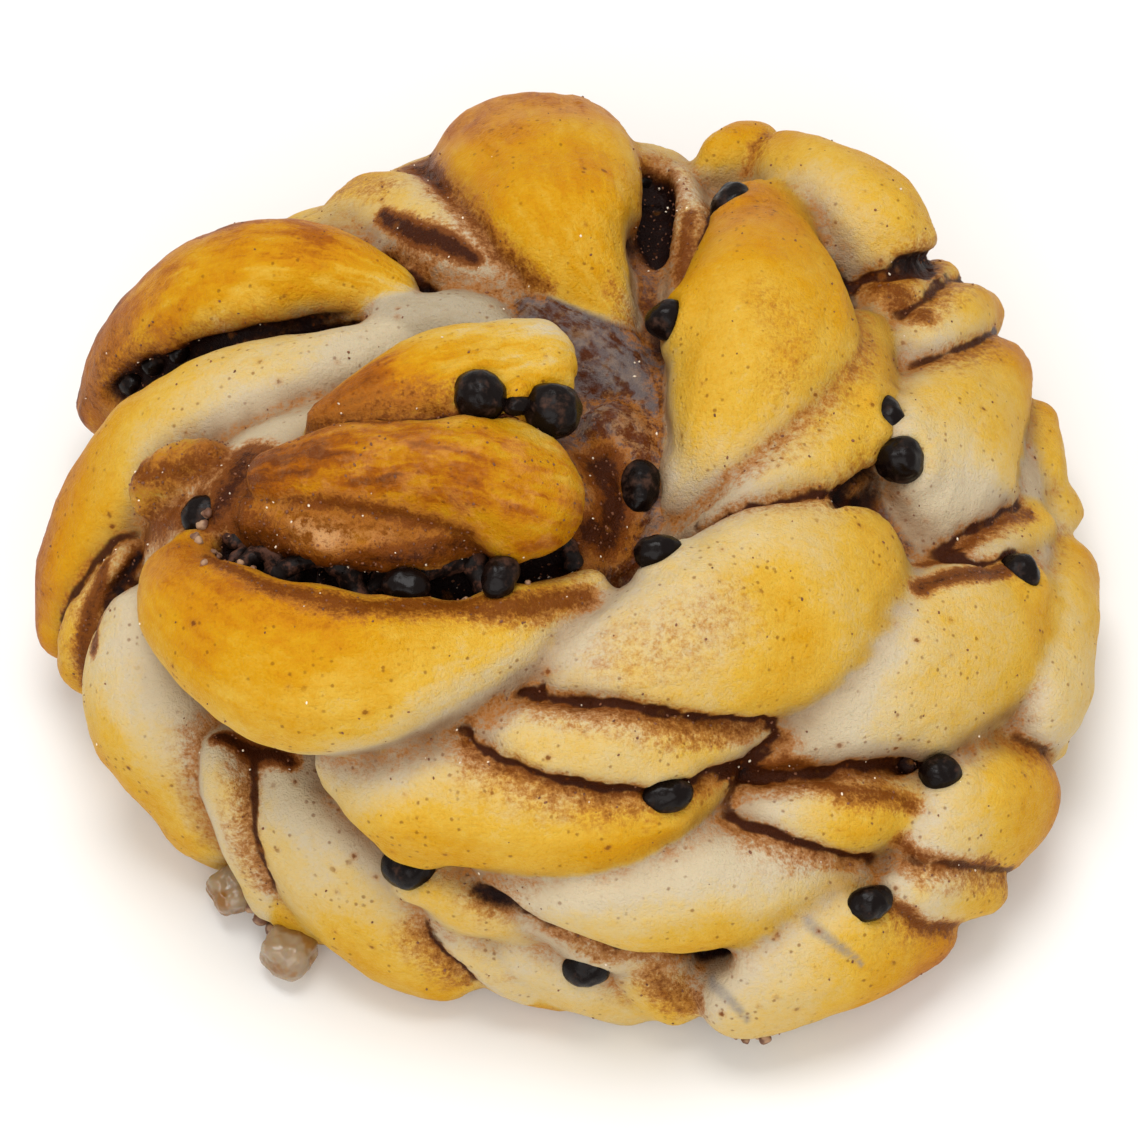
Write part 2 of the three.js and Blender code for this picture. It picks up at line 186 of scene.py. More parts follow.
def smooth_line(knots, count):
    """Points along the curve that passes through the knots, evenly spread over its spans."""
    padded = np.vstack([2 * knots[0] - knots[1], knots, 2 * knots[-1] - knots[-2]])
    t = np.linspace(0, len(knots) - 1, count)
    span = np.minimum(t.astype(int), len(knots) - 2)
    f = (t - span)[:, None]
    a, b, c, d = (padded[span + i] for i in range(4))
    square, cube = 2 * a - 5 * b + 4 * c - d, 3 * b - a - 3 * c + d
    return 0.5 * (2 * b + (c - a) * f + square * f**2 + cube * f**3)


def fold_rings(path):
    """The rings of one fold, and where each of their points lies along it and across it."""
    knots = np.array(path, float)
    line = smooth_line(np.column_stack([place(*knots[:, :3].T), knots[:, 3]]), STATIONS)
    crest, width = line[:, :3], np.maximum(line[:, 3], 1)
    run = np.append(0, np.cumsum(np.linalg.norm(np.diff(crest, axis=0), axis=1)))
    rounding = END_ROUNDING * np.where(run < run[-1] / 2, width[0], width[-1])
    share = np.sqrt(1 - (1 - np.clip(np.minimum(run, run[-1] - run) / rounding, 0, 1)) ** 2)
    along = np.gradient(crest, axis=0)
    along /= np.linalg.norm(along, axis=1)[:, None]
    up = crest * (1, 1, UPWARD_BIAS) - (0, 0, FACING_HEIGHT)
    up -= (up * along).sum(1)[:, None] * along
    up /= np.linalg.norm(up, axis=1)[:, None]
    across = np.cross(along, up)
    depth = FOLD_DEPTH + DEPTH_PER_WIDTH * width
    angle = np.linspace(0, 2 * np.pi, SECTION_POINTS, endpoint=False)
    c, s = np.cos(angle), np.sin(angle)
    size = (np.abs(c) ** SECTION_POWER + np.abs(s) ** SECTION_POWER) ** (-1 / SECTION_POWER)
    middle = crest - up * depth[:, None] / 2
    sideways = (width * share / 2)[:, None, None] * (size * c)[:, None] * across[:, None]
    upwards = (depth * share / 2)[:, None, None] * (size * s)[:, None] * up[:, None]
    rings = middle[:, None] + sideways + upwards
    return rings, np.repeat(run / run[-1], SECTION_POINTS), np.tile(size * c, STATIONS)


def tube_faces(rings, sides, start):
    """Quads between rings of points, and a cap on each end, facing outwards."""
    grid = start + np.arange(rings * sides).reshape(rings, sides)
    beside = np.roll(grid, -1, 1)
    quads = np.stack([grid[:-1], grid[1:], beside[1:], beside[:-1]], -1).reshape(-1, 4).tolist()
    return quads + [grid[0].tolist(), grid[-1][::-1].tolist()]


def row(shape):
    """The paths of a row of like folds."""
    (count, first, step, widths), knots = shape
    for i in range(count):
        turn, width = first + i * step, widths[i % 2]
        yield [(turn + ahead, radius, height, width * share) for ahead, radius, height, share in knots]


def ring_stack(profile, squash):
    """A turned shape from its (radius, height) profile, made oval by squashing it in Y."""
    angle = np.linspace(0, 2 * np.pi, ROUND_SIDES, endpoint=False)
    radius, height = np.array(profile, float).T
    x, y = np.outer(radius, np.cos(angle)), np.outer(radius, np.sin(angle)) * squash
    return np.stack([x, y, np.repeat(height[:, None], ROUND_SIDES, 1)], -1)


points, faces, owner, along, across = [], [], [], [], []


def add(number, rings, run=0.0, side=0.0):
    """Adds a closed shape to the raw dough: its fold's number, and where its points lie on it."""
    faces.extend(tube_faces(*rings.shape[:2], sum(map(len, points))))
    points.append(rings.reshape(-1, 3))
    for column, value in ((owner, number), (along, run), (across, side)):
        column.append(np.full(len(points[-1]), value))


# The order is from the top of the bun down, so that of two folds that meet, the later one
# is the one below. The two rows belong to the lowest coil, and what lies below the folds
# counts as a coil and a fold of its own, numbered -1.
coils = [ROPE_END, UPPER_COIL, CENTRAL_PIT, OUTER_COIL, LOWEST_COIL]
names = [name for coil in coils for name in coil]
folds = [path for coil in coils for path in coil.values()] + [*row(FAR_ROW), *row(FOOT_ROW)]
in_rows = len(folds) - len(names)
coil_of = np.repeat(range(6), [len(coil) for coil in coils[:-1]] + [len(LOWEST_COIL) + in_rows, 1])
for number, path in enumerate(folds):
    add(number, *fold_rings(path))

reach = np.cos(np.linspace(0, np.pi / 2, DOME_RINGS))[1:]
foot_width, dome_rise = DOME_WIDTH - FOOT_INSET, DOME_HEIGHT - FOOT_HEIGHT
dome = [
    (foot_width + FOOT_INSET * math.sin(a), FOOT_HEIGHT * (1 - math.cos(a)))
    for a in np.linspace(0, np.pi / 2, FOOT_RINGS)
]
dome += [(DOME_WIDTH * r, FOOT_HEIGHT + dome_rise * math.sqrt(1 - r**DOME_FULLNESS)) for r in reach]
turn = np.linspace(-np.pi / 2, np.pi / 2, DOME_RINGS)
mound = np.column_stack([MOUND_WIDTH * np.cos(turn), MOUND_HEIGHT * np.sin(turn)])
add(-1, ring_stack(dome, DOME_LENGTH / DOME_WIDTH))
add(-1, ring_stack(mound, MOUND_LENGTH / MOUND_WIDTH) + place(*MOUND_AT))
points = np.vstack(points)
points[:, 2] = np.maximum(points[:, 2], 0)
owner, along, across = (np.concatenate(part) for part in (owner, along, across))

raw = bpy.data.meshes.new("raw dough")
raw.from_pydata(points * MM, [], faces)
raw_dough = bpy.data.objects.new("raw dough", raw)
bpy.context.collection.objects.link(raw_dough)
joined = raw_dough.modifiers.new("joined", "REMESH")
joined.mode = "VOXEL"
joined.voxel_size = VOXEL
baked = bpy.data.meshes.new_from_object(raw_dough.evaluated_get(bpy.context.evaluated_depsgraph_get()))
bpy.data.objects.remove(raw_dough)

# The voxels leave a scrap in a closed hollow: only the piece with the highest point stays.
skin = bmesh.new()
skin.from_mesh(baked)
newly_found = {max(skin.verts, key=lambda point: point.co.z)}
kept = set(newly_found)
while newly_found:
    newly_found = {edge.other_vert(point) for point in newly_found for edge in point.link_edges} - kept
    kept |= newly_found
bmesh.ops.delete(skin, geom=[point for point in skin.verts if point not in kept], context="VERTS")
skin.to_mesh(baked)
skin.free()
edges = np.empty(len(baked.edges) * 2, np.int32)
baked.edges.foreach_get("vertices", edges)
edges = edges.reshape(-1, 2)


def read_points(mesh):
    """The mesh's points, in millimetres."""
    out = np.empty(len(mesh.vertices) * 3, np.float32)
    mesh.vertices.foreach_get("co", out)
    return out.reshape(-1, 3).astype(float) / MM


def relax(values, rounds, rate=0.5):
    """The skin's values drawn towards the mean of their neighbours, a number of times."""
    columns = values.reshape(len(values), -1).copy()
    ends = np.concatenate([edges[:, 0], edges[:, 1]])
    others = np.concatenate([edges[:, 1], edges[:, 0]])
    count = np.bincount(ends, minlength=len(values))[:, None]
    for _ in range(rounds):
        sums = [np.bincount(ends, column[others], len(values)) for column in columns.T]
        columns += rate * (np.stack(sums, 1) / count - columns)
    return columns.reshape(values.shape)


def ramp(values, low, high):
    """0 up to low, 1 from high on, and a straight rise between them."""
    return np.clip((values - low) / (high - low), 0, 1)


def noise_at(spots):
    """Smooth noise with waves about a unit long."""
    return np.array([noise.noise(spot) for spot in spots.tolist()])


surface = relax(read_points(baked), SKIN_ROUNDS)


def nearest(tree, spots):
    """The index of the tree's nearest point to each spot, and how far it is."""
    found = [tree.find(spot) for spot in spots]
    return np.array([hit[1] for hit in found]), np.array([hit[2] for hit in found])


def tree_of(spots):
    """A tree to look up the nearest of the spots in."""
    tree = KDTree(len(spots))
    for index, spot in enumerate(spots):
        tree.insert(spot, index)
    tree.balance()
    return tree


def solid_share(spots, quads, reaches, low=(-70, -70, -20), size=(140, 140, 90)):
    """How much of the space round each spot is dough: 0.5 on a flat, less on a crest and
    more in a crease. One column for each reach, in millimetres."""
    skin = BVHTree.FromPolygons(spots.tolist(), quads)
    filled = np.zeros(size)
    filled[:, :, :-low[2]] = 0.5
    down = Vector((0, 0, -1))
    for i in range(size[0]):
        for j in range(size[1]):
            start = Vector((low[0] + i + 0.5, low[1] + j + 0.5, low[2] + size[2] - 1))
            crossings = []
            while (hit := skin.ray_cast(start, down)[0]) is not None:
                crossings.append(hit.z)
                start = hit + 0.01 * down
            for top, bottom in zip(crossings[::2], crossings[1::2]):
                filled[i, j, round(bottom - low[2]):round(top - low[2])] = 1
    wave = np.fft.rfftn(filled)
    columns = []
    for reach in reaches:
        pitches = [np.fft.fftfreq(n) for n in size[:2]] + [np.fft.rfftfreq(size[2])]
        x, y, z = (np.exp(-2 * (np.pi * reach * pitch) ** 2) for pitch in pitches)
        blurred = np.fft.irfftn(wave * x[:, None, None] * y[:, None] * z, size)
        cell = spots - low - 0.5
        base = np.floor(cell).astype(int)
        part = cell - base
        share = 0
        for dx, dy, dz in np.ndindex(2, 2, 2):
            weight = np.prod(np.where((dx, dy, dz), part, 1 - part), axis=1)
            share = share + weight * blurred[base[:, 0] + dx, base[:, 1] + dy, base[:, 2] + dz]
        columns.append(share)
    return np.stack(columns, 1)


SHARE_REACHES = 1.1, 3.5, 9
quads = [tuple(face.vertices) for face in baked.polygons]
fine, broad, wide = solid_share(surface, quads, SHARE_REACHES).T
closest, _ = nearest(tree_of(points), surface)
fold_of, run_of, side_of = owner[closest], along[closest], across[closest]

# Which fold a point is on, as most of the points round it: the borders of folds are smooth.
share_of = relax(np.eye(len(folds) + 1, dtype=np.float32)[fold_of], BORDER_ROUNDS, 0.9)
fold_of = share_of.argmax(1)
fold_of[fold_of == len(folds)] = -1

# Streaks and wrinkles follow a fold: millimetres along and across it, and its own number.
NUMBER_STEP = 17.0
crests = [place(*np.array(path, float)[:, :3].T) for path in folds]
lengths = np.array([np.linalg.norm(np.diff(crest, axis=0), axis=1).sum() for crest in crests] + [0])
widths = np.array([max(knot[3] for knot in path) for path in folds] + [0])
grain = [run_of * lengths[fold_of], side_of * widths[fold_of] / 2, fold_of * NUMBER_STEP]
grain = np.stack(grain, 1)

# Folds of one coil are layers of one rope, so the crease between them is shallower than the
# one between two coils. How strongly the filling shows in it, where it isn't as usual:
LINES = {
    ("right face", "right edge"): 0.5, ("near face", "near edge"): 1, ("near edge", "lower face"): 0.95,
    ("right edge", "near face"): 1, ("right face", "far edge"): 0.8, ("back fan", "far left edge"): 0.6,
    ("crown", "stained face"): 0.6, ("far fold", "crown"): 0.8, ("pit wall", "pit floor"): 0.4,
    ("near loop", "near edge"): 0.5, ("near loop", "near face"): 0.12,
    ("near face", "near right face"): 0.12, ("near edge", "near right face"): 0.85,
    ("lower face", "near right face"): 0.7, ("near right face", "near right edge"): 0.95,
    ("near right edge", "outer near face"): 0.8, ("lower face", "near right edge"): 0.7,
    ("outer near face", "outer near edge"): 0.75, ("left sweep", "far left sweep"): 1,
    ("far left sweep", "far left edge"): 0.8, ("far knuckle", "far right face"): 0.6,
    ("far right face", "far right edge"): 0.85, ("far right edge", "right strip"): 0.75,
    ("right strip", "outer right face"): 0.75, ("outer right face", "outer right edge"): 0.8,
    ("outer right edge", "near right face"): 0.8, ("low right face", "low near right face"): 0.7,
    ("low near right face", "low near right edge"): 0.7, ("low near right edge", "low near face"): 0.6,
    ("low near sliver", "low near left face"): 0.8, ("low near left edge", "low near left face"): 0.75,
    ("low near left edge", "low left face"): 0.5, ("low left edge", "low left face"): 0.75,
    ("low left edge", "left sweep"): 0.75,
}
SAME_COIL_LINE, OTHER_COIL_LINE, ROW_LINES = 0.5, 0.35, (0.4, 0.8)
OTHER_COIL_FILL, LINE_FILL, FILL_ROUNDS, FILL_RATE = 0.15, 0.75, 45, 0.9
CREASED, CREASED_ROUNDS, LINE_ROUNDS = (0.52, 0.6), 3, 5
meeting = edges[fold_of[edges[:, 0]] != fold_of[edges[:, 1]]]
pairs = np.sort(fold_of[meeting], 1)
same_coil = coil_of[pairs[:, 0]] == coil_of[pairs[:, 1]]
line_strength = np.where(same_coil, SAME_COIL_LINE, OTHER_COIL_LINE)
in_row = pairs[:, 0] >= len(names)
line_strength = np.where(in_row, np.take(ROW_LINES, pairs[:, 0] % 2), line_strength)
creased = relax(ramp(fine, *CREASED), CREASED_ROUNDS)[meeting].max(1)
for pair, value in LINES.items():
    found = (pairs == sorted(names.index(name) for name in pair)).all(1)
    line_strength[found], creased[found] = value, 1
line_point, _ = nearest(tree_of(surface[meeting].mean(1)), surface)
line_fill = np.where(same_coil, 1 - LINE_FILL * line_strength, OTHER_COIL_FILL)
fill = np.where(fold_of < 0, OTHER_COIL_FILL, line_fill[line_point])
strength = (creased * line_strength)[line_point]
fill, strength = relax(np.stack([fill, strength], 1), LINE_ROUNDS).T


def set_surface(spots):
    """Moves the mesh's points, and gives its normals."""
    baked.vertices.foreach_set("co", (spots * MM).ravel())
    baked.update()
    out = np.empty(len(spots) * 3, np.float32)
    baked.vertices.foreach_get("normal", out)
    return out.reshape(-1, 3).astype(float)


for _ in range(FILL_ROUNDS):
    normals = set_surface(surface)
    outwards = ((relax(surface, 1, FILL_RATE) - surface) * normals).sum(1)
    surface += normals * (fill * np.maximum(outwards, 0))[:, None]
line_point, line_gap = nearest(tree_of(surface[meeting].mean(1)), surface)
normals = set_surface(surface)

# Where a gap between two folds stays open, the dough has a hollow; its walls are later painted dark
# with the filling's colour and painted shade.
# Each is a list of (turn, radius, height, width), as a fold is.
GAPS = {
    "under the rope's end": [
        (155, 35, 34.3, 1.4), (150.8, 34.6, 34.5, 2.2), (143.6, 33.1, 36, 2.4),
        (134.5, 29.2, 36.5, 2.6), (124.7, 25.5, 37, 3), (116.6, 22.4, 36.2, 3.2),
        (108.2, 19.3, 36.1, 3), (100, 17.4, 36, 2.8), (90, 15.5, 34, 2.2),
    ],
    "far left gap": [
        (199, 46.5, 16, 1.6), (200, 44, 19, 2.3), (201.2, 40.8, 22.1, 2.2), (203.2, 36.9, 25.6, 1.6),
        (205.6, 32.6, 28.7, 1.1), (209.8, 29.5, 29.1, 0.9), (213.6, 25.2, 31.3, 0.6),
    ],
    "back gap": [
        (281.2, 36, 22.4, 2.2), (283.2, 32.8, 22.2, 2.6), (285.8, 29.3, 23.3, 2.6),
        (290.5, 24.4, 25.8, 1.6),
    ],
    "right gap": [
        (323.3, 38.5, 26, 0.6), (323.1, 39.9, 25.6, 1.1), (322.7, 42, 24.1, 1.3), (322, 44.6, 22, 1),
    ],
    "near right gap": [(24, 26.5, 34.8, 0.7), (14, 27.5, 31, 1.3), (5, 29, 28.8, 1.2)],
    "near slit": [(102, 43.5, 19.5, 0.7), (98.5, 44.5, 19.2, 1.4), (95, 45.3, 18.6, 0.8)],
    "left gap": [(168.4, 41.3, 22.6, 1), (165.3, 44, 20.8, 1), (160, 47, 20.5, 0.6)],
}
HOLLOW_DEPTH, HOLLOW_REACH, HOLLOW_SOFTENING = 1.1, 0.6, 0.3
KNOT_STEPS, SETTLING_ROUNDS = 10, 4


def knotted(knots):
    """Points in millimetres along a line of (turn, radius, height, width) knots, and the width."""
    knots = np.array(knots, float)
    placed = np.column_stack([place(*knots[:, :3].T), knots[:, 3]])
    return smooth_line(placed, KNOT_STEPS * len(knots))


def on_skin(spots):
    """The numbers of the skin's points that are nearest to the spots."""
    return nearest(skin_tree, spots)[0]


def settled(line):
    """The line's points moved to the skin, and smoothed."""
    spots = surface[on_skin(line[:, :3])]
    for _ in range(SETTLING_ROUNDS):
        spots[1:-1] = (spots[:-2] + spots[1:-1] + spots[2:]) / 3
    return spots


skin_tree = tree_of(surface)
gap_paths = [knotted(knots) for knots in GAPS.values()]
for path in gap_paths:
    path[:, :3] = settled(path)
middle = np.vstack(gap_paths)
middle_point, middle_gap = nearest(tree_of(middle[:, :3]), surface)
gap_width = middle[middle_point, 3]
hollow = gap_width * np.exp(-((middle_gap / (HOLLOW_REACH * gap_width)) ** 2))
surface -= normals * (HOLLOW_DEPTH * hollow)[:, None]
surface = relax(surface, 1, HOLLOW_SOFTENING)
normals = set_surface(surface)
skin_tree = tree_of(surface)

# The dough has risen round the chocolate pearls in its gaps, so that each sits in a nest. Each
# pearl is (turn, radius, height, width, length, heading of its length), in mm and degrees. The
# last three are small clots of filling, baked hard in the far left gap.
PEARLS = [
    (144, 10, 46.5, 5, 5.2, 0), (103, 6.6, 45, 5.4, 5.7, 20), (125, 8, 46, 2.2, 3.4, 0),
    (43, 9, 31.5, 4, 5.8, 80), (311, 14, 35, 4.2, 4.4, 0), (65, 19, 38, 3.2, 4.6, 20),
    (281, 38, 20.5, 3.5, 4, 0), (299, 32, 30, 3.9, 4.8, 60), (355, 30, 30.5, 3.4, 4.4, 90),
    (4, 31, 30, 4.6, 4.8, 0), (13, 43.5, 22, 3.8, 4.2, 0), (77, 39.5, 29, 3.4, 5, 10),
    (42, 46.2, 20.4, 3.6, 4.2, 10), (57, 51, 16.5, 3.6, 4.4, 20), (110, 43, 19.5, 4.4, 5.2, -10),
    (88, 47, 11.5, 4.1, 4.7, 0), (162, 35.5, 34, 4.1, 4.4, 50), (124, 26.5, 39.5, 3, 4.6, -5),
    (106, 23, 41, 3.3, 4.4, 60), (246, 44, 10, 4.2, 4.2, 0), (276, 46, 10, 4, 4, 0),
    (200.4, 45, 17, 2.8, 3.4, 60), (201.5, 43, 20.1, 2.4, 3, 70), (202, 40.3, 23.2, 2.1, 2.8, 80),
]
NEST_RISE, NEST_RADIUS, NEST_WIDTH, PEARL_SINK = 0.13, 0.65, 0.25, 0.04
pearl_shape = np.array(PEARLS, float)
pearl_size = pearl_shape[:, 3:5].mean(1)
pearl_at = place(*pearl_shape[:, :3].T)
pearl_at -= normals[on_skin(pearl_at)] * (PEARL_SINK * pearl_size)[:, None]
for spot, size in zip(pearl_at, pearl_size):
    off = np.linalg.norm(surface - spot, axis=1) / size
    nest = NEST_RISE * size * np.exp(-(((off - NEST_RADIUS) / NEST_WIDTH) ** 2))
    surface += normals * nest[:, None]
normals = set_surface(surface)

# Hand-rolled dough is uneven: broad lumps, and wrinkles along the folds.
LUMPS = ((7.0, 0.45), (2.6, 0.16))
WRINKLE_LENGTH, WRINKLE_WIDTH, WRINKLE_HEIGHT = 9.0, 2.2, 0.17
uneven = sum(height * noise_at(surface / size) for size, height in LUMPS)
wrinkle = noise_at(grain / (WRINKLE_LENGTH, WRINKLE_WIDTH, 1))
uneven += WRINKLE_HEIGHT * wrinkle * (fold_of >= 0)

# A groove marks the line between two folds. The distance from the line has a sign: it is
# positive on the lower fold. That fold dips there, and the upper one stands over it.
GROOVE, GROOVE_REACH, LIP, LIP_EDGE, LIP_REACH, SIDE_ROUNDS = 1.0, 0.7, 0.4, 0.4, 1.6, 4
uneven -= GROOVE * strength**2 * np.exp(-((line_gap / GROOVE_REACH) ** 2))
rank = np.where(fold_of < 0, len(folds), fold_of)
side_gap = np.where(rank == rank[meeting][line_point].max(1), line_gap, -line_gap)
side_gap = relax(side_gap, SIDE_ROUNDS)
uneven -= LIP * strength * np.tanh(side_gap / LIP_EDGE) * np.exp(-line_gap / LIP_REACH)
surface += normals * uneven[:, None]
normals = set_surface(surface)
skin_tree = tree_of(surface)

# How far each fold is baked, from pale (0) through golden (0.5) to brown (1): at its inner end,
# at its outer end, and what its right-hand side has more than its left-hand one, seen from the
# inner end.
BAKED = {
    "back fan": (0.42, 0.74, -0.08), "right face": (0.24, 0.66, 0), "right edge": (0.06, 0.55, 0.1),
    "near face": (0.14, 0.38, 0.2), "near edge": (0.04, 0.36, 0), "lower face": (0.08, 0.5, 0.22),
    "far fold": (1.02, 0.12, 0.24), "crown": (0.9, 0.52, 0.1), "stained face": (0.66, 0.6, 0),
    "near loop": (0.64, 0.3, -0.2), "pocket lip": (0.25, 0.25, 0), "far knuckle": (0.45, 0.6, 0),
    "far edge": (0.25, 0.3, 0), "far right face": (0.6, 0.42, -0.14),
    "far right edge": (0.36, 0.56, -0.1), "right strip": (0.2, 0.6, 0),
    "outer right face": (-0.05, 0.72, 0), "outer right edge": (0.15, 0.55, 0),
    "near right face": (-0.04, 0.6, 0.08), "near right edge": (0.12, 0.55, 0.1),
    "outer near face": (0, 0.4, 0.3), "outer near edge": (0.12, 0.3, 0),
    "outer near left edge": (0.3, 0.45, 0), "left sweep": (0.02, 0.8, 0.12),
    "far left sweep": (0.62, 0.95, 0.16), "inner sliver": (0.05, 0.05, 0), "far left edge": (0, 0.5, 0),
    "low right face": (0.15, 0.62, 0), "low right knuckle": (0.3, 0.5, 0),
    "low right lump": (0.35, 0.6, 0), "low near right face": (0.04, 0.75, 0),
    "low near face": (-0.06, 0.75, 0.14), "low near knuckle": (0.25, 0.4, 0),
    "low near sliver": (0.15, 0.3, 0), "low near left face": (0.08, 0.55, 0.16),
    "low near left edge": (0.15, 0.2, 0), "low left face": (0.02, 0.58, 0.16),
    "low left edge": (0.3, 0.6, 0), "pit wall": (0, 0, 0), "pit floor": (0, 0, 0),
    "low near edge": (0.3, 0.4, 0), "low near right edge": (0.12, 0.4, 0),
    "low right sliver": (0.2, 0.4, 0), "right pocket": (0.2, 0.3, 0), "core": (0.1, 0.1, 0),
}
USUAL_BAKE = (0.28, 0.7, 0.08)
MOIST = {"pit wall": 1, "pit floor": 1, "inner sliver": 0.35}
GRAINY = {"stained face": 1, "pocket lip": 0.9, "crown": 0.2, "pit floor": 0.55, "pit wall": 0.3}
STREAKY = {
    "crown": 1.5, "far fold": 1, "stained face": 1, "far left sweep": 1.2, "pocket lip": 0.5,
    "back fan": 0.4, "near loop": 0.4,
}
# What stands out is baked further than what lies in a crease, and the lower coils less.
CREST_BAKE, CREST_SHADE, WIDE_SHADE, LOWER_COILS, LOWER_SHADE = 0.394, 0.7, 0.35, 3, 0.08
BAKE_RUN, DEEP_SHADE_RANGE, DEEP_GAP, PIT_EDGE, PIT_HEIGHT = (0.04, 0.84), (0.68, 0.8), 0.45, (-9, -4), 22
PIT_MOIST, PIT_GRAINY, BLEND_ROUNDS = 0.9, 0.45, 3


def by_fold(values, otherwise):
    """A value for each point from its fold's name, where "core" is what lies below the folds."""
    table = [values.get(name, otherwise) for name in names] + [otherwise] * in_rows
    return np.array([*table, values.get("core", otherwise)], float)[fold_of]


inner, outer, tilt = by_fold(BAKED, USUAL_BAKE).T
bake = inner + (outer - inner) * ramp(run_of, *BAKE_RUN) + tilt * side_of
bake += CREST_BAKE - CREST_SHADE * broad - WIDE_SHADE * wide
bake -= LOWER_SHADE * (coil_of[fold_of] >= LOWER_COILS)
# The deepest creases and the open gaps are painted near black: painted shade, with the filling's own
# dark in the gaps.
deep = np.maximum(ramp(broad, *DEEP_SHADE_RANGE), np.clip(2 - middle_gap / (DEEP_GAP * gap_width), 0, 1))
pit = (fold_of < 0) * ramp(surface[:, 0], *PIT_EDGE) * (surface[:, 2] > PIT_HEIGHT)
moist, grainy = by_fold(MOIST, 0) + PIT_MOIST * pit, by_fold(GRAINY, 0) + PIT_GRAINY * pit
paint = relax(np.stack([bake, deep, moist, grainy, by_fold(STREAKY, 0)], 1), BLEND_ROUNDS)

# Cinnamon from the filling lies as a powdery band beside each line of it, wider on the lower
# fold, and round the open gaps. In two places the filling shows through thin dough as a vein.
POWDER_ABOVE, POWDER_BELOW, LINE_POWDER, GAP_EDGE, FULL_GAP = 0.5, 2.3, 0.9, 0.4, 2.5
powder = LINE_POWDER * strength * np.exp(-line_gap / np.where(side_gap > 0, POWDER_BELOW, POWDER_ABOVE))
round_gap = np.exp(-np.maximum(middle_gap - GAP_EDGE * gap_width, 0) / POWDER_BELOW)
powder = np.maximum(powder, round_gap * ramp(gap_width, 0, FULL_GAP))
VEINS = [
    [(64, 50.2, 16.6, 0.8), (62.3, 52.7, 15.4, 0.7), (60.4, 54.6, 13.1, 0.4)],
    [(74.7, 49.7, 10.5, 0.9), (73.6, 52.4, 11, 0.8), (72.1, 54.1, 9.2, 0.5)],
]
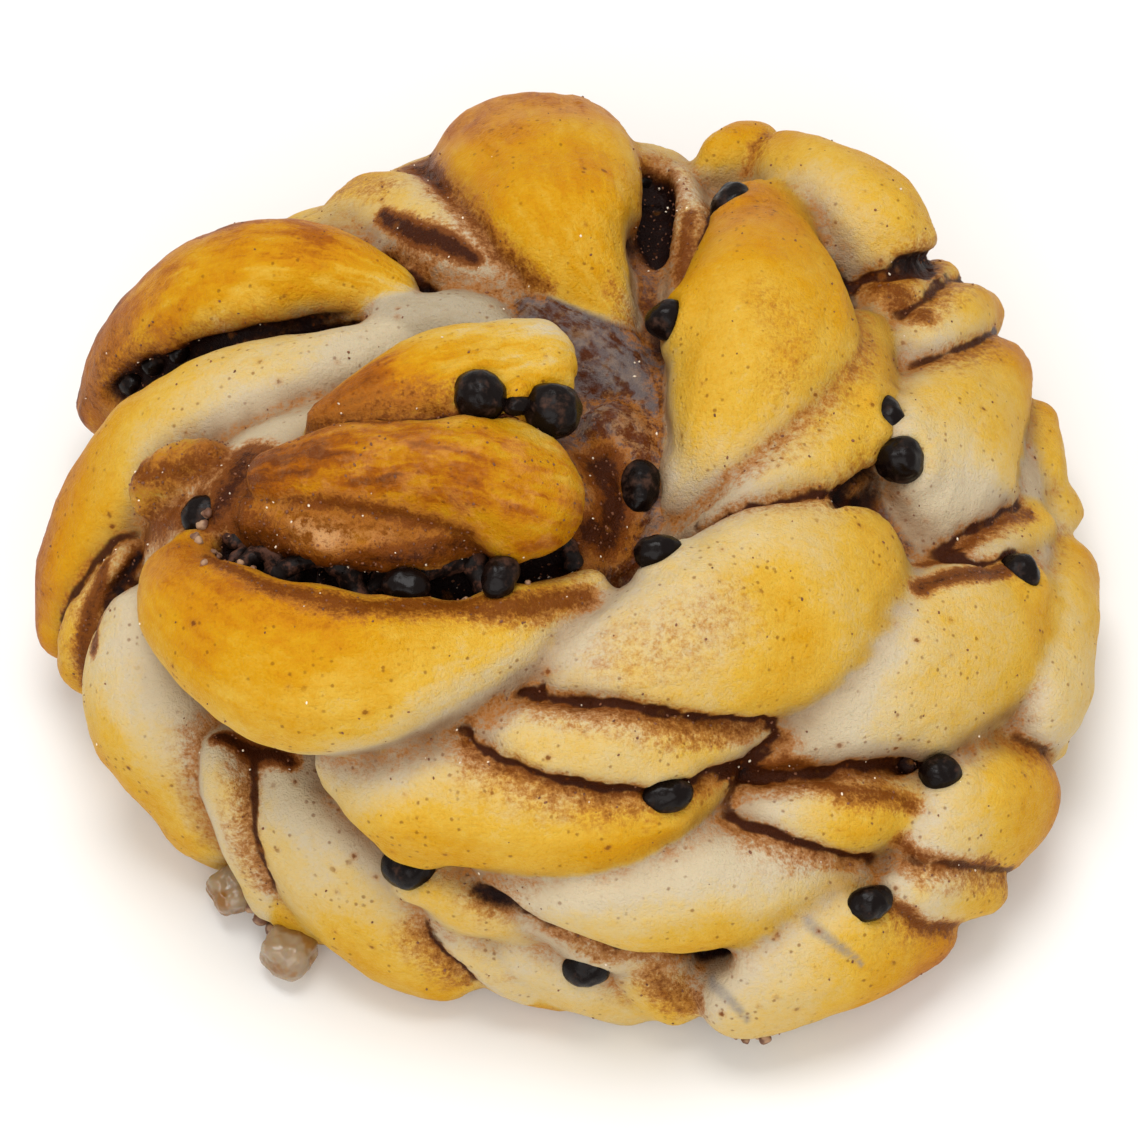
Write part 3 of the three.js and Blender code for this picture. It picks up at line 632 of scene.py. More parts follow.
# It is smeared elsewhere too, and some smears are painted shade, not cinnamon: those below the
# loop, at the foot of the pocket, about the left pearl, on the rim of the far left edge, on the far
# right edge, in the pit, and the back fan's shadow. Each is how thickly, from a tint (0.2) to black
# (1.9), and the line.
SMEARS_AND_SHADE = {
    "loop's rim": (0.9, [
        (151, 37.5, 38, 1), (146.9, 37.3, 40.1, 1.2), (137.7, 35.6, 42, 1.5), (126.3, 32.3, 42.6, 1.9),
        (114.4, 27.3, 40.4, 2), (100.7, 25.2, 40.1, 1.8), (86.2, 21.7, 36.9, 1.4),
    ]),
    "pocket": (0.8, [
        (172.5, 41, 33, 1.6), (170, 38, 34.6, 2.2), (169.3, 34, 35.6, 2.6), (168, 31, 36.5, 2.4),
    ]),
    "shade round the left pearl": (1.5, [(168, 30.5, 37, 2), (163.2, 32.4, 36.8, 2.4), (159, 34.8, 36, 1.8)]),
    "far left crease": (1.2, [(167.8, 44.4, 22.2, 1), (162.7, 47.6, 17.3, 1.2), (159, 49, 12, 0.9)]),
    "left crease": (1.3, [(168.4, 41.3, 22.6, 1.3), (165.3, 44, 20.8, 1.2), (158, 47.7, 21.2, 0.8)]),
    "below the crown": (0.9, [
        (150, 29.5, 42.5, 0.8), (142, 26.2, 44, 1.2), (133.2, 23.5, 44, 1.3), (126.6, 22.1, 43.4, 1.2),
        (114.7, 20.8, 43.3, 1),
    ]),
    "crown's left end": (1.2, [(168.7, 28.9, 37.2, 1.4), (165, 30.7, 37.2, 1.8), (157, 32, 39.5, 1.6)]),
    "above the crown": (0.9, [
        (165, 23, 42, 0.7), (153, 19.5, 45.5, 0.7), (149.6, 14.8, 45.1, 0.8), (141.3, 11.5, 45.3, 0.8),
    ]),
    "far fold": (0.45, [(165.7, 20.6, 44, 1.6), (161.4, 16.2, 45.8, 1.8), (152.7, 12.2, 46.9, 1.6)]),
    "back fan's foot": (0.3, [
        (283.6, 16.5, 33.1, 1.4), (291.2, 14.7, 31.4, 1.8), (300.2, 13.3, 30.3, 2),
    ]),
    "far edge": (0.9, [(293.3, 29.4, 29.2, 1), (298.4, 22.7, 30, 1.3), (312, 14, 34, 1.3)]),
    "far right edge": (0.8, [(325.2, 36.3, 26.3, 2.2), (328.9, 37, 26, 2.4), (332.7, 38.4, 25.6, 1.6)]),
    "outer right edge": (0.9, [(19, 35.1, 26.2, 1.3), (9.3, 38.7, 23.2, 1.2), (0.7, 43.8, 18.3, 1)]),
    "near right face": (1.3, [(27, 35.8, 28.5, 1.1), (20, 39.5, 26, 1.2), (14, 42.5, 23, 1)]),
    "shade under the loop": (1.9, [
        (139, 42.8, 22.5, 0.8), (136.3, 41.4, 21, 1.2), (133.9, 40.9, 21.2, 1.3),
        (130.4, 39.8, 21.6, 0.8),
    ]),
    "stained foot": (1.3, [
        (155.2, 33.4, 36.6, 1.5), (149.9, 32.4, 37.3, 2), (145.7, 30.9, 37.4, 2.2),
        (135.3, 28.3, 39.6, 2.2), (126.1, 25.3, 41.6, 1.8), (117.2, 21.2, 41.2, 1.6),
        (108, 20, 40, 1.2),
    ]),
    "stained left end": (0.9, [
        (158.2, 33.4, 37, 2.4), (152.3, 32.9, 38.7, 2.6), (147.5, 31.5, 39.5, 2),
    ]),
    "back fan's shadow": (1.4, [(249.2, 41.1, 21.8, 2), (248, 36, 26, 1.8), (247.7, 31.5, 29.8, 1)]),
    "back fan's left edge": (0.7, [
        (247.7, 31.5, 29.8, 2), (249.7, 24.7, 32.3, 1.8), (254.5, 19.5, 32.7, 1.6),
        (261.8, 15.9, 32.6, 1.2),
    ]),
    "far left edge's crease": (1.8, [
        (236.8, 31.5, 28.5, 0.9), (238.1, 26.9, 32, 1.4), (240.9, 24.3, 32.8, 1.4),
        (244.5, 21.5, 32.8, 0.8),
    ]),
    "shade on the far left edge's rim": (0.3, [(236, 44, 23, 4), (240, 36, 29, 3)]),
    "far left end": (0.5, [(202.5, 46.8, 22.7, 2.5), (199.9, 48.2, 18.1, 3), (198.8, 49.2, 13.6, 3)]),
    "shade at the pocket's foot": (0.9, [
        (168, 41, 26, 2.4), (165.3, 38.4, 31.3, 2.4), (163.6, 36.4, 33.6, 2.4), (163.6, 35, 35, 2),
    ]),
    "low near": (0.6, [(81.1, 48.2, 11.7, 2), (79, 49.4, 9.4, 2.4), (76.7, 50.2, 7.5, 2)]),
    "low near right": (0.9, [(54.7, 52.1, 15.4, 1), (52.3, 53.8, 11.9, 1.3), (49.4, 54.4, 9.2, 1.2)]),
    "pit": (1.8, [
        (59.9, 5.7, 32.6, 2.5), (63, 9, 32.5, 2.2), (72, 13, 33, 2.2), (81.2, 12.6, 33.9, 2),
    ]),
    "near edge's end": (1.2, [(64.1, 36.9, 23.8, 1.6), (60.9, 37.7, 24.3, 2), (57, 38.8, 24.5, 1.4)]),
    "near right edge": (0.8, [(59, 38.7, 23.5, 1.6), (53.6, 43.3, 23.9, 1.8), (47, 46.5, 20.5, 1.2)]),
    "near face's middle": (0.2, [(84, 29, 39, 4), (76, 30, 39.5, 6), (60, 29, 40, 5)]),
    "right face's middle": (0.2, [(330, 21, 40, 3), (345, 22, 39.5, 4), (355, 20, 38.5, 3)]),
    "low right": (0.8, [(50.7, 48.1, 18.5, 1), (49.8, 50.8, 17.5, 1.2), (43.3, 53.7, 13.1, 1.2)]),
}


def streak(knots):
    """How near each point of the dough is to a line on it: 1 there, and 0.4 a width away."""
    line = knotted(knots)
    apart = np.linalg.norm(surface[:, None] - settled(line), axis=2) / line[:, 3]
    return np.exp(-(apart.min(1) ** 2))


CREASE_SHADE_RANGE = 0.46, 0.62
STRAY_DUSTING, POWDER_DUSTING, GRAINY_DUSTING = 0.02, 0.5, 0.4
vein = np.maximum(*(streak(knots) for knots in VEINS))
for thickness, knots in SMEARS_AND_SHADE.values():
    powder = np.maximum(powder, thickness * streak(knots))
# Painted shade: creases are darkened brown, the more so the more dough encloses them.
crease = relax(ramp(broad, *CREASE_SHADE_RANGE), BLEND_ROUNDS)
grainy = paint[:, 3]
dusting = STRAY_DUSTING + POWDER_DUSTING * np.minimum(powder, 1) ** 2 + GRAINY_DUSTING * grainy
marks = {
    **dict(zip(("bake", "deep", "moist", "grainy", "streaky"), paint.T)), "strength": strength,
    "gap": line_gap, "side_gap": side_gap, "powder": powder, "vein": vein, "crease": crease,
    "dusting": dusting,
}
for name, column in marks.items():
    layer = baked.attributes.new(name, "FLOAT", "POINT")
    layer.data.foreach_set("value", column.astype(np.float32))

# The layer under the rope's end is gritty, and the tin has left the underside flat.
GRIT_SIZE, GRIT_HEIGHT, FLAT_BELOW = 1.1, 0.5, 0.5
surface += normals * (GRIT_HEIGHT * grainy * noise_at(surface / GRIT_SIZE))[:, None]
surface[:, 2] = np.where(surface[:, 2] < FLAT_BELOW, 0, surface[:, 2])
normals = set_surface(surface)
skin_tree = tree_of(surface)
grain[:, :2] = relax(grain[:, :2], 1)
layer = baked.attributes.new("grain", "FLOAT_VECTOR", "POINT")
layer.data.foreach_set("vector", grain.astype(np.float32).ravel())

dough = bpy.data.objects.new("dough", baked)
bpy.context.collection.objects.link(dough)
baked.shade_smooth()


class Wire:
    """What a node gives: a number, colour or shape that other nodes take."""

    def __init__(self, nodes, socket):
        self.nodes, self.socket = nodes, socket

    def math(self, operation, first, second=0.0):
        return self.nodes.node("ShaderNodeMath", {"operation": operation}, {0: first, 1: second})

    def __add__(self, other):
        return self.math("ADD", self, other)

    def __sub__(self, other):
        return self.math("SUBTRACT", self, other)

    def __rsub__(self, other):
        return self.math("SUBTRACT", other, self)

    def __mul__(self, other):
        return self.math("MULTIPLY", self, other)

    __radd__, __rmul__ = __add__, __mul__

    def __abs__(self):
        return self.math("ABSOLUTE", self)

    def at_least(self, other):
        return self.math("MAXIMUM", self, other)

    def between(self, low, high):
        """0 below low, 1 above high, and a smooth rise from one to the other."""
        settings = {"interpolation_type": "SMOOTHSTEP"}
        return self.nodes.node("ShaderNodeMapRange", settings, {0: self, 1: low, 2: high})


class Nodes:
    """A tree of nodes, built one by one."""

    def __init__(self, tree):
        self.tree = tree

    def plug(self, socket, value):
        if isinstance(value, Wire):
            self.tree.links.new(value.socket, socket)
        else:
            socket.default_value = value

    def node(self, kind, settings, sockets, output=0):
        made = self.tree.nodes.new(kind)
        for name, value in settings.items():
            if name == "stops":
                ramp = made.color_ramp.elements
                while len(ramp) < len(value):
                    ramp.new(0.5)
                for stop, (position, colour) in zip(ramp, value):
                    stop.position, stop.color = position, (*colour, 1)
            else:
                setattr(made, name, value)
        for name, value in sockets.items():
            self.plug(made.inputs[name], value)
        return Wire(self, made.outputs[output])


class Finish(Nodes):
    """One material."""

    def __init__(self, name, **sockets):
        self.material = bpy.data.materials.new(name)
        self.material.use_nodes = True
        super().__init__(self.material.node_tree)
        self.principled = self.tree.nodes["Principled BSDF"]
        self.set(**sockets)

    def set(self, **sockets):
        for name, value in sockets.items():
            self.plug(self.principled.inputs[name.replace("_", " ")], value)

    def attribute(self, name, output="Fac"):
        return self.node("ShaderNodeAttribute", {"attribute_name": name}, {}, output)

    def places(self):
        return self.node("ShaderNodeTexCoord", {}, {}, "Object")

    def noise(self, vector, scale, detail=3.0, roughness=0.5):
        sockets = {"Vector": vector, "Scale": scale, "Detail": detail, "Roughness": roughness}
        return self.node("ShaderNodeTexNoise", {}, sockets, "Fac")

    def specks(self, vector, scale):
        """How far each place is from the nearest of many scattered specks, and a number that
        is this speck's own."""
        sockets = {"Vector": vector, "Scale": scale, "Randomness": 1.0}
        away = self.node("ShaderNodeTexVoronoi", {}, sockets, "Distance")
        colour = self.node("ShaderNodeTexVoronoi", {}, sockets, "Color")
        return away, self.node("ShaderNodeSeparateColor", {}, {0: colour})

    def mix(self, share, first, second):
        colours = (colour if isinstance(colour, Wire) else (*colour, 1) for colour in (first, second))
        sockets = dict(zip((0, 6, 7), (share, *colours)))
        return self.node("ShaderNodeMix", {"data_type": "RGBA"}, sockets, 2)

    def bump(self, *layers):
        """Relief from layers of (pattern, strength, height in millimetres)."""
        normal = {}
        for pattern, strength, height in layers:
            sockets = {"Height": pattern, "Strength": strength, "Distance": height * MM, **normal}
            normal = {"Normal": self.node("ShaderNodeBump", {}, sockets, "Normal")}
        self.set(**normal)


CRUST_STOPS = [
    (0.0, (0.57, 0.47, 0.31)), (0.15, (0.62, 0.45, 0.18)), (0.32, (0.64, 0.38, 0.04)),
    (0.5, (0.58, 0.28, 0.002)), (0.64, (0.53, 0.21, 0.0)), (0.8, (0.36, 0.10, 0.0)),
    (1.0, (0.15, 0.035, 0.002)),
]
# The browns below also paint shade: the cinnamon and filling browns where a shade smear or a deep
# crease lies, the hollow brown in the deepest hollows and the crease brown in creases.
STAIN_AND_SHADE_BROWN, DUSTING_AND_SHADE_BROWN = (0.145, 0.033, 0.001), (0.39, 0.135, 0.015)
FILLING_AND_SHADE_BROWN, HOLLOW_SHADE_BROWN = (0.045, 0.009, 0.001), (0.012, 0.004, 0.003)
SMEAR_BROWN, SMEAR_CREAM, CREASE_SHADE_BROWN = (0.16, 0.034, 0.001), (0.56, 0.3, 0.13), (0.2, 0.085, 0.028)
MOIST_BROWN, MOIST_GREY, VEIN_GREY = (0.045, 0.012, 0.005), (0.13, 0.115, 0.115), (0.2, 0.19, 0.2)
SPECKS, FINE_SPECKS = 0.55 / MM, 1.3 / MM

crust = Finish("crust", IOR=1.4, Specular_IOR_Level=0.14)
crust.set(Subsurface_Weight=0.12, Subsurface_Radius=(0.9, 0.45, 0.2), Subsurface_Scale=1.2 * MM)
where = crust.places()
drawn_out = {"Vector": crust.attribute("grain", "Vector"), "Scale": (0.14, 0.55, 1.0)}
streaks = crust.noise(crust.node("ShaderNodeMapping", {}, drawn_out), 1.0, 4.0, 0.6)
patches = crust.noise(where, 0.11 / MM, 3.0, 0.5)
breaks = crust.noise(where, 0.35 / MM, 2.0, 0.5)
mottle = crust.noise(where, 0.9 / MM, 4.0, 0.65)
grains = crust.noise(where, 1.1 / MM, 5.0, 0.75)
pores = crust.noise(where, 3.2 / MM, 3.0, 0.6)
crumb = crust.noise(where, 6.5 / MM, 2.0, 0.6)
strength, moist, deep = (crust.attribute(name) for name in ("strength", "moist", "deep"))

streaked = (0.15 + 0.75 * crust.attribute("streaky")) * (streaks - 0.5)
bake = crust.attribute("bake") + 0.5 * (patches - 0.5) + streaked
bake = bake + 0.24 * (mottle - 0.5) + 0.2 * (pores - 0.5)
baked_colour = crust.node("ShaderNodeValToRGB", {"stops": CRUST_STOPS}, {0: bake})
wet = (0.6 * patches + streaks + 0.5 * mottle).between(0.97, 1.15)
wet_colour = crust.mix(wet, MOIST_BROWN, MOIST_GREY)

# Creases are darkened with painted brown shade, the layer under the rope's end is gritty, cinnamon
# lies by the filling and some smears paint shade, the line of filling itself is darker the stronger
# it is, and hollows and the deepest creases are darkest, with the filling's dark and painted shade.
crease = crust.attribute("crease") * (0.25 + 0.9 * breaks) * (1 - moist)
grit = (0.45 * grains + 0.4 * breaks + 0.2 * streaks + 0.15 * pores).between(0.57, 0.68)
bare = (patches + 0.5 * streaks).between(0.7, 0.85) * 0.5
# Cinnamon beside the filling, and smears of which some are painted shade.
powder = crust.attribute("powder")
powder = powder + (1.5 * (grains - 0.5) + 0.7 * (pores - 0.5)) * powder.between(0.0, 0.3)
vein = (crust.attribute("vein") * (0.5 + breaks)).between(0.2, 1.2)
gap = abs(crust.attribute("side_gap")).at_least(crust.attribute("gap") - 0.5)
line = strength.between(0.45, 0.85) * (1 - (gap - 1.3 * (breaks - 0.5)).between(0.1, 0.62))
# The deepest creases and gaps are darkened with the filling's brown and the hollow brown: painted
# shade.
line = line + deep * (0.5 + mottle)
hollow = (deep * (0.3 + 1.4 * grains)).between(0.45, 0.95)

# Specks of cinnamon lie in patches: coarse ones with a soft rim, and fine ones.
away, kind = crust.specks(where, SPECKS)
away = away - 0.35 * (mottle - 0.5) - 0.15 * (pores - 0.5)
chosen = kind.between(0.5, 0.9) * (patches + 0.5 * (breaks - 0.5)).between(0.42, 0.6)
fine_away, fine_kind = crust.specks(where, FINE_SPECKS)
fine_kind = fine_kind + 0.9 * (patches - 0.5) + 0.5 * (breaks - 0.5)
fine_speck = 1 - (fine_away - 0.3 * (pores - 0.5)).between(0.1, 0.34)

colour = crust.mix(moist.between(0.1, 0.8), baked_colour, wet_colour)
# Painted brown shade in the creases.
colour = crust.mix(crease, colour, CREASE_SHADE_BROWN)
stain = crust.mix(bare, crust.mix(grit, SMEAR_BROWN, SMEAR_CREAM), colour)
# Each layer lies over the colour so far; the cinnamon and filling browns also lay down painted shade
# where a shade smear or a deep crease lies.
for share, laid_on in (
    (crust.attribute("grainy") * 0.92, stain),
    (powder.between(0.05, 0.5) * 0.8, DUSTING_AND_SHADE_BROWN),
    (powder.between(0.32, 0.85) * 0.9, STAIN_AND_SHADE_BROWN),
    (powder.between(0.95, 1.6), FILLING_AND_SHADE_BROWN),
    (vein * 0.7, VEIN_GREY),
    (line.between(0.15, 0.95), FILLING_AND_SHADE_BROWN),
    (hollow, HOLLOW_SHADE_BROWN),
    (chosen * (1 - away.between(0.08, 0.36)) * 0.4, DUSTING_AND_SHADE_BROWN),
    (chosen * (1 - away.between(0.06, 0.18)) * 0.85, STAIN_AND_SHADE_BROWN),
    (fine_speck * fine_kind.between(0.72, 0.9) * 0.6, STAIN_AND_SHADE_BROWN),
):
    colour = crust.mix(share, colour, laid_on)
crust.set(Base_Color=colour, Roughness=0.42 + 0.2 * (mottle - 0.5))
crust.bump(
    (mottle, 0.5, 0.3), (streaks, 0.25, 0.6), (grains, 0.4, 0.25), (pores, 0.9, 0.2), (crumb, 0.8, 0.09)
)
baked.materials.clear()
baked.materials.append(crust.material)
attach(dough, "root")
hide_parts("bun")

# The chocolate pearls: small balls of hard baking chocolate that were strewn on the filling,
# so that winding the rope left them in the gaps between its folds. The oven has dulled them
# and let them slump a little.
PEARL_BLACK, PEARL_DUST = (0.005, 0.0025, 0.002), (0.06, 0.028, 0.018)


class Recipe(Nodes):
    """A geometry-nodes tree with named inputs, which turns one mesh into another."""

    KINDS = {float: "NodeSocketFloat", int: "NodeSocketInt"}

    def __init__(self, name, **inputs):
        super().__init__(bpy.data.node_groups.new(name, "GeometryNodeTree"))
        self.values = inputs
        face = self.tree.interface
        face.new_socket("Geometry", in_out="OUTPUT", socket_type="NodeSocketGeometry")
        face.new_socket("Geometry", in_out="INPUT", socket_type="NodeSocketGeometry")
        self.keys = {
            key: face.new_socket(key, in_out="INPUT", socket_type=self.KINDS[type(value)])
            for key, value in inputs.items()
        }
        self.start = self.tree.nodes.new("NodeGroupInput")

    def take(self, name="Geometry"):
        return Wire(self, self.start.outputs[name])

    def field(self, name, kind="FLOAT"):
        return self.node("GeometryNodeInputNamedAttribute", {"data_type": kind}, {"Name": name})

    def strewn(self, points, shape, **sockets):
        """The shape on each of the points, as one mesh."""
        sockets = {"Points": points, "Instance": shape, **sockets}
        placed = self.node("GeometryNodeInstanceOnPoints", {}, sockets)
        return self.node("GeometryNodeRealizeInstances", {}, {0: placed})

    def lumpy(self, shape):
        """Moves a shape's surface in and out, by noise of the inputs' scale and height."""
        spot, out = (self.node("GeometryNodeInput" + name, {}, {}) for name in ("Position", "Normal"))
        sockets = {"Vector": spot, "W": self.take("Seed"), "Scale": self.take("Lump_Scale")}
        wave = self.node("ShaderNodeTexNoise", {"noise_dimensions": "4D"}, sockets)
        sockets = {0: out, "Scale": (wave - 0.5) * self.take("Lump_Height")}
        moved = self.node("ShaderNodeVectorMath", {"operation": "SCALE"}, sockets)
        return self.node("GeometryNodeSetPosition", {}, {"Geometry": shape, "Offset": moved})

    def serve(self, shape, finish):
        """Ends the tree: a plain, smooth mesh with its material."""
        shape = self.node("GeometryNodeRealizeInstances", {}, {0: shape})
        shape = self.node("GeometryNodeSetShadeSmooth", {}, {"Geometry": shape})
        sockets = {"Geometry": shape, "Material": finish.material}
        shape = self.node("GeometryNodeSetMaterial", {}, sockets)
        end = self.tree.nodes.new("NodeGroupOutput")
        self.tree.links.new(shape.socket, end.inputs["Geometry"])

    def make(self, name, start):
        """The plain mesh object that the tree makes from a starting mesh."""
        piece = bpy.data.objects.new(name, start)
        bpy.context.collection.objects.link(piece)
        recipe = piece.modifiers.new(name, "NODES")
        recipe.node_group = self.tree
        for key, socket in self.keys.items():
            recipe[socket.identifier] = self.values[key]
        evaluated = piece.evaluated_get(bpy.context.evaluated_depsgraph_get())
        plain = bpy.data.meshes.new_from_object(evaluated)
        piece.modifiers.remove(recipe)
        piece.data = plain
        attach(piece, "root")
        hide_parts("bun")
        return piece


def dots(spots, joined=(), **values):
    """A mesh of points, in millimetres, with numbers or vectors for each, and lines between
    those that are joined."""
    mesh = bpy.data.meshes.new("dots")
    mesh.from_pydata((np.array(spots) * MM).tolist(), joined, [])
    for name, column in values.items():
        column = np.array(column, np.float32)
        kind, key = ("FLOAT", "value") if column.ndim == 1 else ("FLOAT_VECTOR", "vector")
        mesh.attributes.new(name, kind, "POINT").data.foreach_set(key, column.ravel())
    return mesh


shell = Finish("baked chocolate", IOR=1.45, Specular_IOR_Level=0.15)
dust = shell.noise(shell.places(), 0.5 / MM, 4.0, 0.7)
shell.set(Base_Color=shell.mix(dust.between(0.52, 0.75), PEARL_BLACK, PEARL_DUST))
shell.set(Roughness=0.25 + 0.4 * dust.between(0.45, 0.7))
shell.bump((dust, 0.4, 0.25))
balls = Recipe("pearls", Lump_Height=1.3 * MM, Lump_Scale=0.32 / MM, Seed=7.0)
ball = balls.node("GeometryNodeMeshIcoSphere", {}, {"Radius": 0.5 * MM, "Subdivisions": 5})
turned, size = (balls.field(name, "FLOAT_VECTOR") for name in ("turned", "size"))
balls.serve(balls.lumpy(balls.strewn(balls.take(), ball, Rotation=turned, Scale=size)), shell)
widths, lengths, headings = pearl_shape[:, 3:].T
turned = np.column_stack([0 * headings, 0 * headings, np.radians(headings)])
size = np.column_stack([lengths, widths, widths])
balls.make("pearls", dots(pearl_at, turned=turned, size=size))

# The filling: cinnamon, cocoa and sugar that have baked to a dark, glossy paste. It wells up
# in a lumpy strand along the open gap under the rope's end.
PASTE_BLACK, PASTE_BROWN, PASTE_SINK = (0.008, 0.004, 0.003), (0.09, 0.035, 0.02), 0.72
USUAL_SWELL, SWELL, SWELL_PITCH, LEAST_SWELL, MOST_SWELL = 0.75, 0.8, 0.16, 0.3, 1.25

strand_line = gap_paths[list(GAPS).index("under the rope's end")]
swell = [USUAL_SWELL + SWELL * noise.noise((SWELL_PITCH * i, 0, 0)) for i in range(len(strand_line))]
width = strand_line[:, 3] * np.clip(swell, LEAST_SWELL, MOST_SWELL)
sunk = strand_line[:, :3] - normals[on_skin(strand_line[:, :3])] * (PASTE_SINK * strand_line[:, 3:])
paste = Finish("filling paste", IOR=1.45, Specular_IOR_Level=0.22)
clots = paste.noise(paste.places(), 0.8 / MM, 4.0, 0.7)
paste.set(Base_Color=paste.mix(clots.between(0.46, 0.64), PASTE_BLACK, PASTE_BROWN))
paste.set(Roughness=0.35 + 0.4 * clots)
paste.bump((clots, 0.6, 0.3))
lumps = Recipe("paste", Step=0.3 * MM, Lump_Height=1.9 * MM, Lump_Scale=0.5 / MM, Seed=3.0)
strand = lumps.node("GeometryNodeMeshToCurve", {}, {"Mesh": lumps.take()})
stepped = {"Curve": strand, "Length": lumps.take("Step")}
strand = lumps.node("GeometryNodeResampleCurve", {"mode": "LENGTH"}, stepped)
ring = lumps.node("GeometryNodeCurvePrimitiveCircle", {}, {"Resolution": 20, "Radius": 0.5 * MM})
swept = {"Curve": strand, "Profile Curve": ring, "Scale": lumps.field("width"), "Fill Caps": True}
lumps.serve(lumps.lumpy(lumps.node("GeometryNodeCurveToMesh", {}, swept)), paste)
joined = [(i, i + 1) for i in range(len(sunk) - 1)]
lumps.make("paste", dots(sunk, joined, width=width))

# Grains: ground cinnamon on the dough beside the filling and a few anywhere, and sugar grains
# that stayed whole. Each grain is an uneven speck a fraction of a millimetre across.
GRAINS = {
    "cinnamon": ((0.13, 0.045, 0.018), 0.75, 1.1, (0.12, 0.36), 5),
    "sugar": ((0.62, 0.5, 0.38), 0.3, 0.1, (0.15, 0.34), 9),
}
for name, (colour, roughness, crowd, (smallest, largest), seed) in GRAINS.items():
    speckle = Finish(name, Roughness=roughness)
    shades = speckle.noise(speckle.places(), 1.5 / MM, 2.0)
    lighter = tuple(min(1, 1.7 * part) for part in colour)
    speckle.set(Base_Color=speckle.mix(shades.between(0.35, 0.65), colour, lighter))
    sown = Recipe(name, Smallest=smallest, Largest=largest, Crowd=crowd / MM**2, Seed=seed)
    density = sown.field("dusting") * sown.take("Crowd")
    scatter = {"Mesh": sown.take(), "Density": density, "Seed": sown.take("Seed")}
    seeds = sown.node("GeometryNodeDistributePointsOnFaces", {}, scatter)
    drawn = {2: sown.take("Smallest"), 3: sown.take("Largest"), "Seed": sown.take("Seed")}
    size = sown.node("FunctionNodeRandomValue", {"data_type": "FLOAT"}, drawn, 1)
    drawn = {0: (0, 0, 0), 1: (math.tau, math.tau, math.tau), "Seed": sown.take("Seed")}
    turned = sown.node("FunctionNodeRandomValue", {"data_type": "FLOAT_VECTOR"}, drawn)
    speck = sown.node("GeometryNodeMeshIcoSphere", {}, {"Radius": 0.5 * MM, "Subdivisions": 1})
    flat = sown.node("GeometryNodeTransform", {}, {"Geometry": speck, "Scale": (1.3, 0.9, 0.7)})
    sown.serve(sown.strewn(seeds, flat, Scale=size, Rotation=turned), speckle)
    sown.make(name, baked.copy())

# Two drops of sugar that ran out of the filling, caramelised on the tin and set against the
# foot of the bun: cloudy, amber and glossy. Each is (turn, radius, height, width), and its
# tilt about each axis.
SUGAR_DROPS, TILTS = [(133, 46.6, 3.2, 4.9), (123, 48.4, 3, 5.5)], [(0.2, 0.1, 0.5), (-0.1, 0.15, 1.0)]
CARAMEL_PALE, CARAMEL_DARK = (0.6, 0.47, 0.31), (0.45, 0.22, 0.05)

caramel = Finish("caramelised sugar", IOR=1.5, Specular_IOR_Level=0.5, Transmission_Weight=0.6)
caramel.set(Subsurface_Weight=0.6, Subsurface_Radius=(2.0, 1.2, 0.5), Subsurface_Scale=1.5 * MM)
cloud = caramel.noise(caramel.places(), 0.3 / MM, 3.0, 0.5)
caramel.set(Base_Color=caramel.mix(cloud.between(0.45, 0.58), CARAMEL_PALE, CARAMEL_DARK))
caramel.set(Roughness=0.05 + 0.3 * cloud)
melted = Recipe("sugar drops", Lump_Height=1.8 * MM, Lump_Scale=0.36 / MM, Corners=0.2, Seed=2.0)
drop = melted.node("GeometryNodeMeshCube", {}, {"Size": (1.1 * MM, MM, 0.85 * MM)})
corners = melted.take("Corners")
rounding = {"Mesh": drop, "Level": 5, "Edge Crease": corners, "Vertex Crease": corners}
drop = melted.node("GeometryNodeSubdivisionSurface", {}, rounding)
turned = melted.field("turned", "FLOAT_VECTOR")
drop = melted.strewn(melted.take(), drop, Scale=melted.field("size"), Rotation=turned)
melted.serve(melted.lumpy(drop), caramel)
turns, radii, heights, sizes = np.array(SUGAR_DROPS).T
drops = melted.make("sugar_drops", dots(place(turns, radii, heights), size=sizes, turned=TILTS))
above = read_points(drops.data)
above[:, 2] = np.maximum(above[:, 2], 0)
drops.data.vertices.foreach_set("co", (above * MM).ravel())

# Crumbs: bits of crust and clotted sugar that have stuck to the bun. Each cluster is (turn,
# radius, height, spread, largest crumb, how many), in degrees and millimetres.
CRUMBS = [
    (160, 35.5, 35, 0.9, 1.2, 8), (154, 36, 35.5, 1.1, 0.9, 10), (146, 34.6, 37.5, 1.1, 0.8, 9),
    (108, 22, 38, 1.6, 1.1, 7), (72.5, 54.5, 1.2, 1, 1.3, 6), (128, 47.2, 2, 1.1, 2, 5),
]
CRUMB_PALE, CRUMB_DARK = (0.38, 0.22, 0.12), (0.14, 0.055, 0.025)
CRUMB_RISE, LOWEST_CRUMB, CRUMB_SEED = 0.2, 0.6, 23
crumb_draw = np.random.default_rng(CRUMB_SEED)
spots, sizes = [], []
for turn, radius, height, spread, largest, count in CRUMBS:
    scattered = place(turn, radius, height) + crumb_draw.normal(0, spread, (count, 3)) * (1, 1, 0.4)
    under = on_skin(scattered)
    sizes.append(largest * crumb_draw.uniform(0.4, 1, count))
    spots.append(surface[under] + normals[under] * (CRUMB_RISE * sizes[-1])[:, None])
crust_bits = Finish("crumbs", Roughness=0.6)
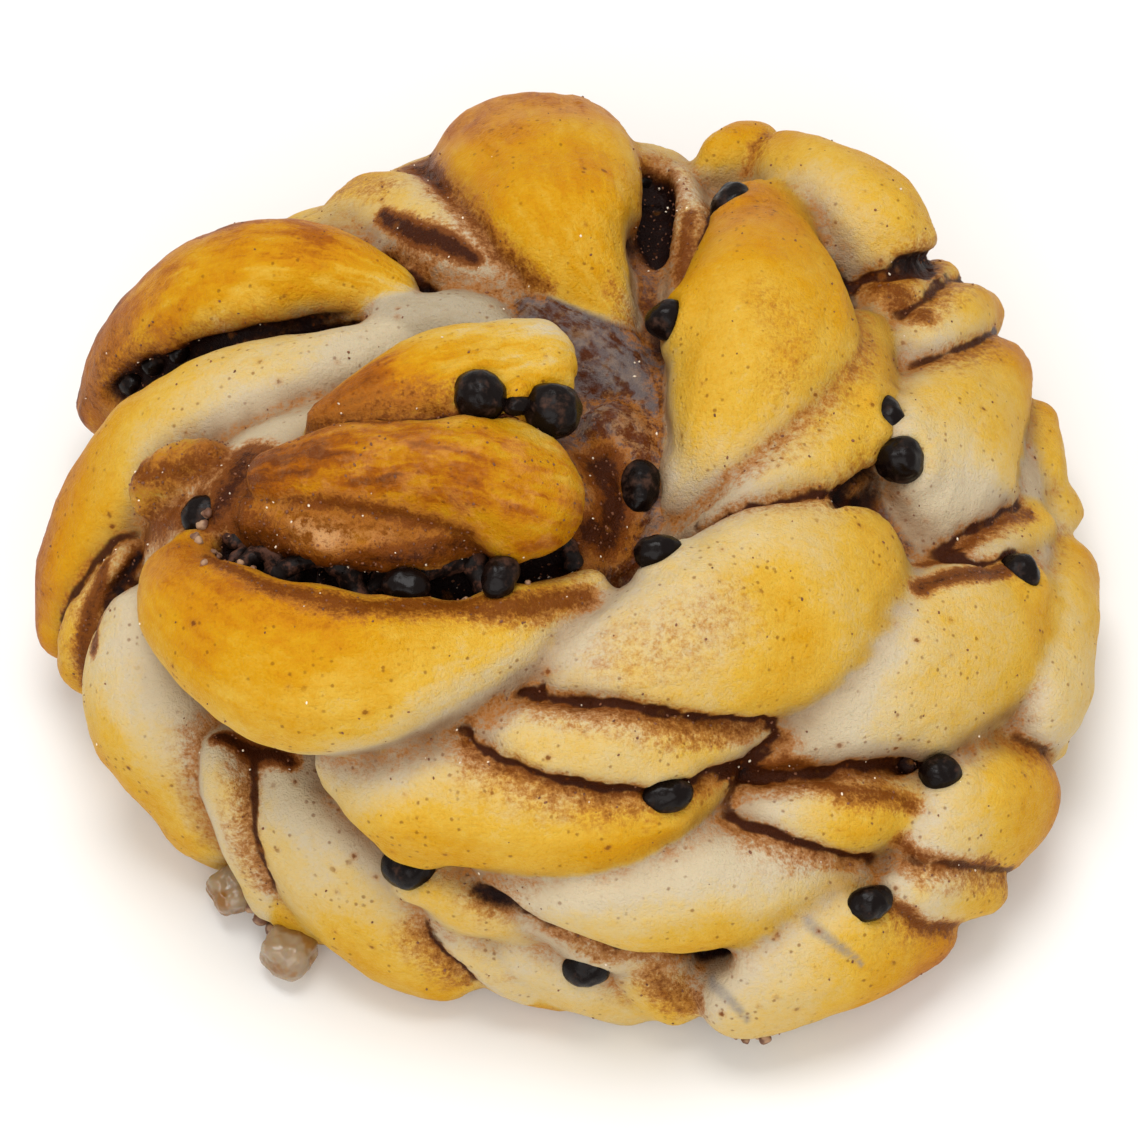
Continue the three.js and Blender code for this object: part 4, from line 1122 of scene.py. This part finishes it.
shades = crust_bits.noise(crust_bits.places(), 0.7 / MM, 2.0)
crust_bits.set(Base_Color=crust_bits.mix(shades.between(0.42, 0.58), CRUMB_PALE, CRUMB_DARK))
broken = Recipe("crumbs", Lump_Height=0.9 * MM, Lump_Scale=1.1 / MM, Seed=4.0)
bit = broken.node("GeometryNodeMeshIcoSphere", {}, {"Radius": 0.5 * MM, "Subdivisions": 3})
bits = broken.strewn(broken.take(), bit, Scale=broken.field("size"))
broken.serve(broken.lumpy(bits), crust_bits)
spots = np.vstack(spots)
spots[:, 2] = np.maximum(spots[:, 2], LOWEST_CRUMB)
broken.make("crumbs", dots(spots, size=np.concatenate(sizes)))

# The studio: a plain pale floor, two large soft lights, one over the bun and one in front of
# it, and a pale surround.
FLOOR_PALE, WORLD_PALE, WORLD_STRENGTH = (0.86, 0.85, 0.83, 1), (1, 0.98, 0.95, 1), 0.66
SOFT_LIGHTS = {
    "key": ((-0.05, 0.15, 0.85), 0.5, 4.2),
    "fill": ((-0.1, -0.7, 0.6), 0.8, 3.4),
}
floor_mesh = bpy.data.meshes.new("floor")
floor_mesh.from_pydata([(x, y, 0) for x, y in ((-3, -3), (3, -3), (3, 3), (-3, 3))], [], [(0, 1, 2, 3)])
floor = bpy.data.objects.new("floor", floor_mesh)
bpy.context.collection.objects.link(floor)
floor_mesh.materials.append(Finish("floor", Base_Color=FLOOR_PALE, Roughness=0.8).material)
for name, (spot, size, watts) in SOFT_LIGHTS.items():
    lamp = bpy.data.lights.new(name, "AREA")
    lamp.shape = "DISK"
    lamp.size = size
    lamp.energy = watts
    light = bpy.data.objects.new(name, lamp)
    light.location = spot
    light.rotation_euler = (AIM - light.location).to_track_quat("-Z", "Y").to_euler()
    bpy.context.collection.objects.link(light)
world = bpy.data.worlds.new("surround")
world.use_nodes = True
world.node_tree.nodes["Background"].inputs["Color"].default_value = WORLD_PALE
world.node_tree.nodes["Background"].inputs["Strength"].default_value = WORLD_STRENGTH
bpy.context.scene.world = world
bpy.context.scene.view_settings.view_transform = "Standard"
